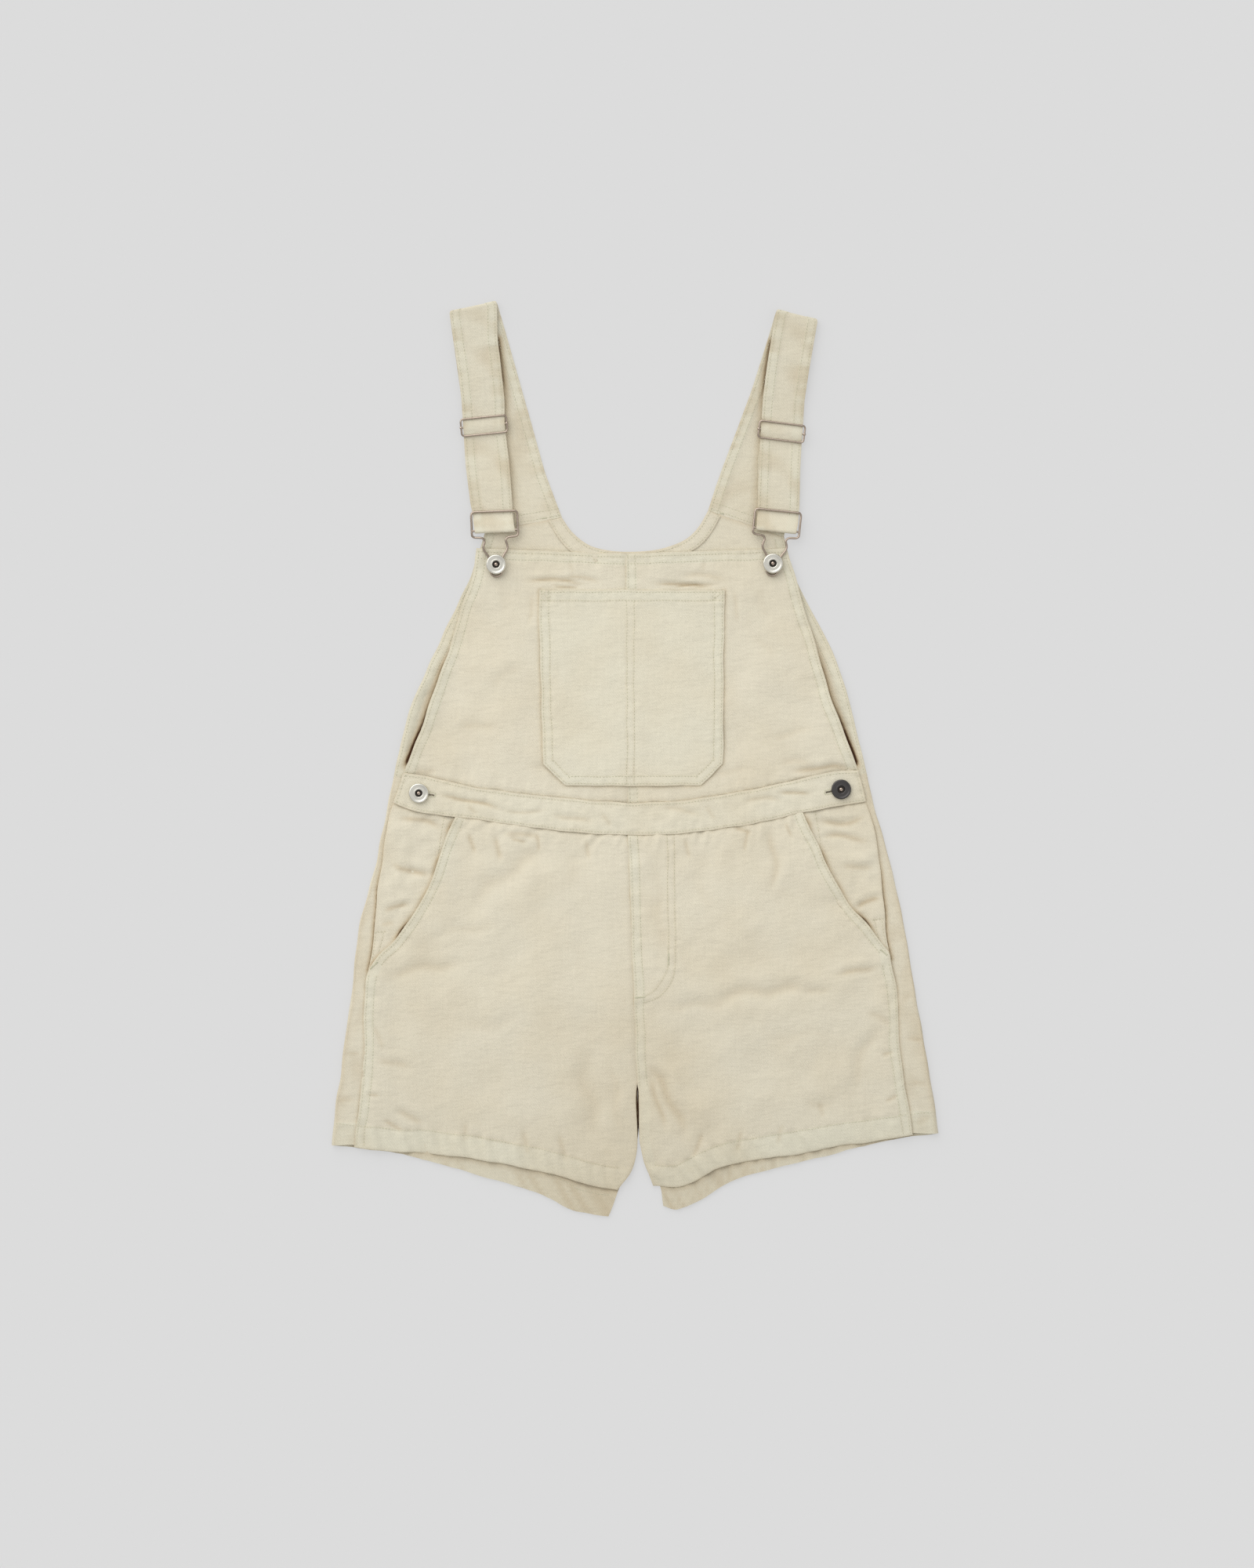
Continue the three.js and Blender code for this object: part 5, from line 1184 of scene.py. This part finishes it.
# %% Buckle and slider
def bar_points(a, b, radius):
    a, b = np.array(a, float), np.array(b, float)
    way = (b - a) / gap(a, b)
    near = [a, a + way * 0.15 * radius, a + way * 0.5 * radius, a + way * radius]
    return np.array(near + list(near[-1] + (b - a - 2 * way * radius) * t for t in (0.33, 0.67)) +
                    [b - way * radius, b - way * 0.5 * radius, b - way * 0.15 * radius, b])


def wire_buckle(side):
    top, half_w, loop_z = 47.5, 20.6, 6.75
    half = [(0, top), (8, top), (17.6, top), (19.7, top - 0.8), (half_w, top - 3), (half_w, 38), (half_w, 28),
            (20.2, 26), (18.8, 24.9), (16, 24.5), (12.6, 24.2), (10.4, 23.2), (9.5, 20.9), (10.2, 18.6),
            (10.8, 15.6), (9.9, 12.4), (7.8, 9.2), (5.9, 5.6), (5.3, 2), (5.2, -2), (5, -6), (4, -8.8),
            (2.1, -10.3)]
    outline = half + [(0, -10.7)] + [(-x, y) for x, y in half[:0:-1]] + half[:1]
    ring = [(x, y, min(loop_z, BAR_Z + (loop_z - BAR_Z) * (BAR_Y - y) / BAR_Y)) for x, y in outline]
    ring = smooth_path(placed(ring, BUCKLE[side]), 0.9)[:-1]
    bar = placed(bar_points((-half_w, BAR_Y, BAR_Z), (half_w, BAR_Y, BAR_Z), WIRE), BUCKLE[side])
    return gathered("buckle_" + side, [tube(ring, WIRE, True), tube(bar, WIRE, False)])


def wire_slider(side):
    half, rise, z, low, radius, bend = 20.45, 7.6, 5.5, 3.8, 0.85, 2.4
    ring = []
    for sx, sy, start in ((1, 1, 90), (1, -1, 0), (-1, -1, -90), (-1, 1, -180)):
        for a in np.radians(np.linspace(start, start - 90, 6)):
            ring.append((sx * (half - bend) + bend * math.cos(a), sy * (rise - bend) + bend * math.sin(a), z))
    ring = placed(ring, SLIDER[side])
    ring = along(np.vstack([ring, ring[:1]]), np.linspace(0, 1, 90))[:-1]
    bar = placed(bar_points((-half, 0, low), (half, 0, low), radius), SLIDER[side])
    parts = [tube(ring, radius, True), tube(bar, radius, False)]
    for x in (-half, half):
        profile = [(0.05, low - 1), (1.1, low - 0.8), (1.35, low), (1.35, z + 0.6), (1.0, z + 1.1),
                   (0.05, z + 1.2)]
        parts.append(lathe(profile, placed([(x, 0, 0)], SLIDER[side])[0], 14))
    return gathered("slider_" + side, parts)


hardware = {}
for side in ("left", "right"):
    hardware["buckle_" + side] = wire_buckle(side)
    hardware["slider_" + side] = wire_slider(side)
print("wire faces:", sum(len(o.data.polygons) for o in hardware.values()))

# %% [markdown]
# ## Tack buttons
# A turned profile: shank, a flat ring with a rolled rim, a sunk middle and the domed head of the tack. A
# lathe is the plain way to make anything that was itself turned or pressed round.

# %% Buttons
def tack_button(name, place, foot, head):
    top = head + 3.2
    profile = [(0.05, foot), (2.3, foot), (2.5, foot + 0.2), (2.5, head), (7.9, head), (8.5, head + 0.3),
               (8.8, head + 0.9), (8.8, top - 0.9), (8.6, top - 0.35), (8.2, top - 0.05), (7.7, top),
               (7.2, top - 0.12), (6.6, top - 0.32), (4.6, top - 0.34), (4.1, top - 0.2), (3.6, top - 0.22),
               (3.3, top - 0.5), (3.1, top - 1.2), (3.0, top - 1.9), (1.95, top - 1.95), (1.9, top - 1.5),
               (1.6, top - 0.95), (1.0, top - 0.62), (0.05, top - 0.55)]
    sides = 40
    ring, recess, dome = 0, 1, 2
    slots = [ring] * 16 + [recess] * 3 + [dome] * 4
    cap = sides // 2 - 1
    faces = [slot for slot in slots for _ in range(sides)] + [ring] * cap + [dome] * cap
    return add_mesh(name, *lathe(profile, place, sides)), faces


sunk_faces = {}
for side in ("left", "right"):
    for kind, place, foot, head in (
        ("bib_button_", BUCKLE[side], 5.35, 8.05),
        ("hip_button_", HIP_BUTTON[side], 3.6, 6.3),
    ):
        hardware[kind + side], sunk_faces[kind + side] = tack_button(kind + side, place, foot, head)
print("buttons:", len(sunk_faces), "all 17.6 mm across")


# %% [markdown]
# ## Node trees as sums
# Two small helpers keep node trees readable. One wraps an output so that sums written in Python add the
# Math nodes. The other makes any node, sets it and links it.

# %% Sums and nodes
class Value:
    """A node's output that can stand in a sum."""

    def __init__(self, tree, socket):
        self.tree, self.socket = tree, socket

    def out(self, name):
        return Value(self.tree, self.socket.node.outputs[name])

    def math(self, operation, *terms):
        node = self.tree.nodes.new("ShaderNodeMath")
        node.operation = operation
        for slot, term in zip(node.inputs, terms):
            feed(self.tree, slot, term)
        return Value(self.tree, node.outputs[0])

    def __add__(self, other):
        return self.math("ADD", self, other)

    def __sub__(self, other):
        return self.math("SUBTRACT", self, other)

    def __rsub__(self, other):
        return self.math("SUBTRACT", other, self)

    def __mul__(self, other):
        return self.math("MULTIPLY", self, other)

    __radd__, __rmul__ = __add__, __mul__


def feed(tree, slot, value):
    if isinstance(value, Value):
        tree.links.new(value.socket, slot)
    else:
        slot.default_value = value


class Bench:
    """Makes the nodes of one tree."""

    def __init__(self, tree):
        self.tree = tree

    def node(self, kind, settings=(), inputs=(), output=0):
        node = self.tree.nodes.new(kind)
        for key, value in dict(settings).items():
            setattr(node, key, value)
        for key, value in dict(inputs).items():
            feed(self.tree, node.inputs[key], value)
        return Value(self.tree, node.outputs[output])

    def blend(self, share, a, b):
        """Mixes two colours."""
        return self.node("ShaderNodeMix", {"data_type": "RGBA"}, {0: share, 6: a, 7: b}, 2)


# %% [markdown]
# ## Stitches
# Every seam here is sewn with a lockstitch: short slanted bits of thread with a hole between them. There
# are thousands, so Geometry Nodes lay them: the rows become curves, the curves are divided by the stitch
# length, and a small capsule is put on each point, turned along the row and set on the cloth. The rows
# themselves are dropped on the finished panels by casting rays, so each stitch lies in its groove.

# %% Stitch tree
def stitch_tree(thread):
    tree = bpy.data.node_groups.new("rows of stitches", "GeometryNodeTree")
    face = tree.interface
    face.new_socket("Rows", in_out="INPUT", socket_type="NodeSocketGeometry")
    for name, value in (("Pitch", 0.0028), ("Stitch Length", 0.0020), ("Thread Width", 0.0005),
                        ("Turn", 0.0)):
        face.new_socket(name, in_out="INPUT", socket_type="NodeSocketFloat").default_value = value
    face.new_socket("Seed", in_out="INPUT", socket_type="NodeSocketInt").default_value = 7
    face.new_socket("Stitches", in_out="OUTPUT", socket_type="NodeSocketGeometry")
    bench = Bench(tree)
    given = bench.node("NodeGroupInput")
    pitch, length, width = given.out("Pitch"), given.out("Stitch Length"), given.out("Thread Width")
    curve = bench.node("GeometryNodeMeshToCurve", (), {"Mesh": given.out("Rows")})
    curve = bench.node("GeometryNodeResampleCurve", {"mode": "LENGTH"}, {"Curve": curve, "Length": pitch})
    way = bench.node("GeometryNodeInputTangent")
    up = bench.node("GeometryNodeInputNamedAttribute", {"data_type": "FLOAT_VECTOR"}, {"Name": "up"})
    turned = bench.node("FunctionNodeAlignRotationToVector", {"axis": "Z"}, {"Vector": up})
    turned = bench.node("FunctionNodeAlignRotationToVector", {"axis": "X", "pivot_axis": "Z"},
                        {"Rotation": turned, "Vector": way})
    slant = bench.node("FunctionNodeRandomValue", {"data_type": "FLOAT"},
                       {2: -0.14, 3: 0.02, "Seed": given.out("Seed")}, 1)
    spin = bench.node("ShaderNodeCombineXYZ", (), {"Z": slant + given.out("Turn")})
    spin = bench.node("FunctionNodeEulerToRotation", (), {0: spin})
    turned = bench.node("FunctionNodeRotateRotation", {"rotation_space": "LOCAL"},
                        {"Rotation": turned, "Rotate By": spin})
    capsule = bench.node("GeometryNodeMeshUVSphere", (), {"Segments": 6, "Rings": 4, "Radius": 0.5})
    uneven = bench.node("FunctionNodeRandomValue", {"data_type": "FLOAT"},
                        {2: 0.8, 3: 1.1, "Seed": given.out("Seed") + 1}, 1)
    size = bench.node("ShaderNodeCombineXYZ", (), {"X": length * uneven, "Y": width, "Z": width * 0.8})
    laid = bench.node("GeometryNodeInstanceOnPoints", (),
                      {"Points": curve, "Instance": capsule, "Rotation": turned, "Scale": size})
    whole = bench.node("GeometryNodeRealizeInstances", (), {"Geometry": laid})
    finished = bench.node("GeometryNodeSetMaterial", (), {"Geometry": whole, "Material": thread})
    end = tree.nodes.new("NodeGroupOutput")
    tree.links.new(finished.socket, end.inputs["Stitches"])
    return tree


# %% [markdown]
# ## Rows dropped on the cloth
# A row is known only in plan. A ray is cast down at each place of it, or up for the underside, and the
# first cloth it meets there gives the height and the way up. Where a ray finds only a steep edge, the row
# is broken, as a needle would miss there too.

# %% Rows dropped on the cloth
def row_lines(name, rows):
    """A mesh of bare lines that lie on the cloth, with the way up kept at each point."""
    trees = {}
    points, ups, edges = [], [], []
    for piece, row, face, start in rows:
        if len(row) < 2:
            continue
        if piece not in trees:
            mesh = cloth[piece].data
            trees[piece] = BVHTree.FromPolygons([v.co for v in mesh.vertices],
                                                [p.vertices for p in mesh.polygons])
        run = lengths(row)
        line = along(row, np.linspace(0, 1, max(2, int(run[-1] / 2.5)))) * 0.001
        last = None
        for x, y in np.stack([*wander(line[:, 0] * 1000, line[:, 1] * 1000)], 1) * 0.001:
            hit, normal, _, _ = trees[piece].ray_cast(Vector((x, y, start)), Vector((0, 0, -face)))
            if hit is None or normal.z * face < 0.3:
                last = None
                continue
            if last is not None:
                edges.append((last, len(points)))
            last = len(points)
            points.append(hit + normal * 0.0001)
            ups.append(normal)
    mesh = bpy.data.meshes.new(name)
    mesh.from_pydata(points, edges, [])
    mesh.attributes.new("up", "FLOAT_VECTOR", "POINT").data.foreach_set("vector", np.array(ups).ravel())
    obj = bpy.data.objects.new(name, mesh)
    bpy.context.scene.collection.objects.link(obj)
    return obj


def stitched(name, rows, tree, **sizes):
    """Lays stitches along rows and keeps them as a plain mesh."""
    obj = row_lines(name, rows)
    nodes = obj.modifiers.new("stitches", "NODES")
    nodes.node_group = tree
    ids = {item.name: item.identifier for item in tree.interface.items_tree if item.item_type == "SOCKET"}
    for key, value in sizes.items():
        nodes[ids[key.replace("_", " ").title()]] = value
    settled(obj)
    obj.data.shade_smooth()
    print(name, "faces:", len(obj.data.polygons))
    return obj


# %% [markdown]
# ## Finishes
# The cloth is undyed cotton twill. Seen close it has a fine diagonal rib and threads of uneven thickness;
# seen from a step away it is a warm cream, paler where a seam is pressed. Painted shade makes it browner in
# the creases, beside rows and edges and under overlaps, and near black deep in the slits. The colour
# therefore follows the two numbers kept in the mesh, with a slow mottle over it, and the rib is a shallow
# bump. The light falls off slowly from the middle and is warmer and darker between the legs. Lamps that did
# this would mark the floor as well, so this painted shade is a slow change of the cloth's colour with place.
# A photograph of cloth as a texture would be quicker, but it would repeat and could not follow the creases.

# %% Cotton twill
def new_material(name):
    material = bpy.data.materials.new(name)
    material.use_nodes = True
    material.node_tree.nodes.clear()
    return material, Bench(material.node_tree)


def finish(bench, inputs):
    shader = bench.node("ShaderNodeBsdfPrincipled", (), inputs)
    end = bench.tree.nodes.new("ShaderNodeOutputMaterial")
    bench.tree.links.new(shader.socket, end.inputs["Surface"])


RIB_PITCH = 0.0017  # metres from one diagonal rib of the twill to the next
CREAM = (0.714, 0.660, 0.524, 1)
WARM = (0.66, 0.57, 0.405, 1)
PRESSED = (0.725, 0.70, 0.562, 1)
# Colours of painted shade: brown in creases, beside rows and edges and under overlaps, and near black deep in
# the slits.
CREASE_SHADE = (0.47, 0.355, 0.205, 1)
DEEP_SHADE = (0.07, 0.03, 0.012, 1)


def twill_material():
    material, bench = new_material("cream cotton twill")
    where = bench.node("ShaderNodeTexCoord").out("Object")
    seam = bench.node("ShaderNodeAttribute", {"attribute_name": "seam"}).out("Fac")
    painted_shade = bench.node("ShaderNodeAttribute", {"attribute_name": "painted_shade"}).out("Fac")
    place = bench.node("ShaderNodeSeparateXYZ", (), {0: where})
    x, y = place.out("X"), place.out("Y")
    mottle = bench.node("ShaderNodeTexNoise", (), {"Vector": where, "Scale": 14.0, "Detail": 3.0})
    stretched = bench.node("ShaderNodeMapping", (), {"Vector": where, "Scale": (620.0, 60.0, 60.0)})
    yarn = bench.node("ShaderNodeTexNoise", (), {"Vector": stretched, "Scale": 1.0, "Detail": 2.0})
    grain = bench.node("ShaderNodeTexNoise", (), {"Vector": where, "Scale": 1100.0, "Detail": 1.0})
    drift = bench.node("ShaderNodeTexNoise", (), {"Vector": where, "Scale": 260.0, "Detail": 1.0})
    across = (x * 0.8 + y * 0.6) * (2 * math.pi / RIB_PITCH) + drift * 5.0
    rib = across.math("SINE", across)
    cream = bench.blend(seam * 0.6, CREAM, PRESSED)
    # Painted shade between the legs: warmer and darker there.
    shade_between_legs = x.math("MAXIMUM", 0.012 - x * x, 0.0) * x.math("MAXIMUM", -0.12 - y, 0.0)
    mottle_and_leg_shade = bench.blend((mottle - 0.42) * 1.1 + shade_between_legs * 120, cream, WARM)
    # Painted shade from the mesh's mark: brown, then near black where it is deepest.
    creased = bench.blend(painted_shade * 0.7, mottle_and_leg_shade, CREASE_SHADE)
    deep = bench.blend((painted_shade - 0.95) * 1.5, creased, DEEP_SHADE)
    # Painted fall-off of light towards the garment's ends and sides, and painted shade between the legs.
    painted_falloff = (y - 0.05) * (y - 0.05) * 0.62 + x * x * 0.25 + x * 0.08 + shade_between_legs * 8
    yarn_tone_and_falloff = (yarn - 0.5) * 0.09 + (grain - 0.5) * 0.16 + rib * 0.026 + 1.0 - painted_falloff
    lit = bench.node("ShaderNodeVectorMath", {"operation": "SCALE"}, {0: deep, "Scale": yarn_tone_and_falloff})
    height = rib * 0.4 + yarn * 0.8 + grain * 1.2
    lying = bench.node("ShaderNodeMapping", (),
                       {"Vector": where, "Scale": (0.6, 1.3, 1.0), "Rotation": (0, 0, 0.25)})
    rumple = bench.node("ShaderNodeTexNoise", (),
                        {"Vector": lying, "Scale": 105.0, "Detail": 3.0, "Roughness": 0.6})
    soft = bench.node("ShaderNodeBump", (), {"Strength": 0.6, "Distance": 0.0016, "Height": rumple})
    bump = bench.node("ShaderNodeBump", (),
                      {"Strength": 0.25, "Distance": 0.0003, "Height": height, "Normal": soft})
    finish(bench, {"Base Color": lit, "Roughness": 0.95, "Normal": bump, "Specular IOR Level": 0.15,
                   "Sheen Weight": 0.12, "Sheen Roughness": 0.5})
    return material


twill = twill_material()
print("twill nodes:", len(twill.node_tree.nodes))

# %% [markdown]
# ## Thread and metal
# The thread is a shade greener and greyer than the cloth, which is why the seams read as fine dotted
# lines. The wire is nickel plate with a faint warm tint. One hip button is darker than the rest.

# %% Thread and metal
def plain_metal(name, colour, roughness):
    material, bench = new_material(name)
    where = bench.node("ShaderNodeTexCoord").out("Object")
    haze = bench.node("ShaderNodeTexNoise", (), {"Vector": where, "Scale": 900.0, "Detail": 2.0})
    finish(bench, {"Base Color": colour, "Metallic": 1.0, "Roughness": haze * 0.15 + (roughness - 0.07)})
    return material


def thread_material():
    material, bench = new_material("cotton thread")
    where = bench.node("ShaderNodeTexCoord").out("Object")
    fuzz = bench.node("ShaderNodeTexNoise", (), {"Vector": where, "Scale": 300.0, "Detail": 1.0})
    colour = bench.blend(fuzz, (0.51, 0.50, 0.36, 1), (0.65, 0.635, 0.48, 1))
    finish(bench, {"Base Color": colour, "Roughness": 0.8, "Specular IOR Level": 0.2})
    return material


thread = thread_material()
nickel = plain_metal("nickel wire", (0.42, 0.345, 0.285, 1), 0.2)
ring_metal = plain_metal("nickel button", (0.71, 0.69, 0.62, 1), 0.3)
dark_metal = plain_metal("dark button", (0.085, 0.08, 0.078, 1), 0.3)
# Painted shade: the buttons' sunk middles are near black.
recess = plain_metal("shaded recess", (0.05, 0.045, 0.04, 1), 0.4)
for name, obj in hardware.items():
    if "button" in name:
        obj.data.materials.append(dark_metal if name == "hip_button_right" else ring_metal)
        obj.data.materials.append(recess)
        obj.data.materials.append(nickel)
        obj.data.polygons.foreach_set("material_index", sunk_faces[name])
    else:
        obj.data.materials.append(nickel)
for obj in cloth.values():
    obj.data.materials.clear()
    obj.data.materials.append(twill)
    obj.data.polygons.foreach_set("material_index", np.zeros(len(obj.data.polygons), int))

# %% [markdown]
# ## Bartacks
# Short dense bars of thread that hold the ends of the pocket openings and the fly, and a stitch or two
# where the facing ends at the straps. They are only short rows with crosswise stitches, so the stitch tree
# makes them.

# %% Bartacks
TACKS = [("front_left", (-236.6, -187.4), (-229.6, -181.6)), ("front_right", (219, -170.4), (228.4, -178.2)),
         ("front_right", (29.8, -173.8), (29.8, -184.4)), ("front_right", (-0.2, -213.4), (8.4, -213)),
         ("strap_left", (-83, 214.4), (-79.4, 215.2)), ("strap_right", (76, 219.2), (79, 218.4))]
tack_rows = [(piece, straight(a, b), 1, 0.0022 if "strap" in piece else 0.05) for piece, a, b in TACKS]

print("bartacks:", len(tack_rows))

# %% [markdown]
# ## Laying the stitches
# All rows are sewn in four meshes: those seen from above, those on the underside, the close stitches round
# the buttonholes, which stand across their line, and the bartacks. One mesh for each row would be far
# slower.

# %% Lay the stitches
stitch_nodes = stitch_tree(thread)
hole_rows = []
for side in ("left", "right"):
    ring = keyhole(side, 1.2)
    hole_rows.append(("waistband", np.vstack([ring, ring[:1]]), 1, 0.05))
stitches = {
    "stitches": stitched("stitches", [r for r in stitch_rows if r[2] > 0], stitch_nodes),
    "back_stitches": stitched("back_stitches", [r for r in stitch_rows if r[2] < 0], stitch_nodes),
    "buttonhole_stitches": stitched("buttonhole_stitches", hole_rows, stitch_nodes, pitch=0.0008,
                                    stitch_length=0.0013, thread_width=0.0005, turn=math.pi / 2),
    "bartacks": stitched("bartacks", tack_rows, stitch_nodes, pitch=0.0006, stitch_length=0.0019,
                         thread_width=0.0005, turn=math.pi / 2),
}

# %% [markdown]
# ## Putting the pieces in place of the solids
# Each panel takes the place of its solid, which is hidden. Buttons and wires hide their solids too, and all
# of them, with the threads, hang from one root. The areas the pieces were cut to are printed.

# %% Pieces and cuts
SLOTS = {"buckle": "wire", "slider": "wire", "bib_button": "button", "hip_button": "button"}
for name, obj in cloth.items():
    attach(obj, "root")
    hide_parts(name)
for name, obj in hardware.items():
    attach(obj, "root")
    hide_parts(name)
    "dark_button" if name == "hip_button_right" else SLOTS[name.rsplit("_", 1)[0]]
for obj in stitches.values():
    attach(obj, "root")
print("cut areas in m2:", {k: round(v, 4) for k, v in cuts.items()})

# %% [markdown]
# ## Floor, light and camera
# The garment lies on a plain pale surface and is seen from straight above, through a long lens, as in a
# catalogue. The light is a wide soft source from the upper left with a paler fill, so that creases show
# and shadows stay faint. The photo's ground is one even grey without any shadow. So the floor is given a
# dark colour and gives off the rest of its brightness itself, which leaves almost no shadow on it.

# %% Stage
bpy.ops.mesh.primitive_plane_add(size=12, location=(0, 0, -0.0004))
floor = bpy.context.object
floor.name = "floor"
floor_material, bench = new_material("pale floor")
finish(bench, {"Base Color": (0.24, 0.24, 0.24, 1), "Roughness": 1.0, "Specular IOR Level": 0.0,
               "Emission Color": (1, 1, 1, 1), "Emission Strength": 0.4685})
floor.data.materials.append(floor_material)

world = bpy.data.worlds.new("studio")
bpy.context.scene.world = world
world.use_nodes = True
sky = world.node_tree.nodes["Background"].inputs
sky["Color"].default_value, sky["Strength"].default_value = (1.0, 1.0, 1.0, 1), 0.58


def soft_light(name, place, spread, strength):
    """A far light of even strength, with the soft edge of a source that fills a wide angle."""
    light = bpy.data.lights.new(name, "SUN")
    light.angle, light.energy = math.radians(spread), strength
    obj = bpy.data.objects.new(name, light)
    obj.location = place
    obj.rotation_euler = (-Vector(place)).to_track_quat("-Z", "Y").to_euler()
    bpy.context.scene.collection.objects.link(obj)


soft_light("key", (-1.5, 2.2, 1.9), 75, 2.0)
soft_light("fill", (1.9, -1.2, 2.4), 90, 0.35)

camera = bpy.data.cameras.new("camera")
camera.sensor_fit, camera.sensor_width, camera.sensor_height = "AUTO", 36, 36
distance, frame_height = 4.2, 1.4
middle_x, middle_y = -0.00735, -0.02275  # what the middle of the picture shows
camera.lens = 36 * distance / frame_height
camera_object = bpy.data.objects.new("camera", camera)
camera_object.location = (middle_x, middle_y, distance + 0.004)
bpy.context.scene.collection.objects.link(camera_object)
bpy.context.scene.camera = camera_object
bpy.context.scene.view_settings.view_transform = "Standard"
print("lens %.0f mm at %.1f m" % (camera.lens, distance))
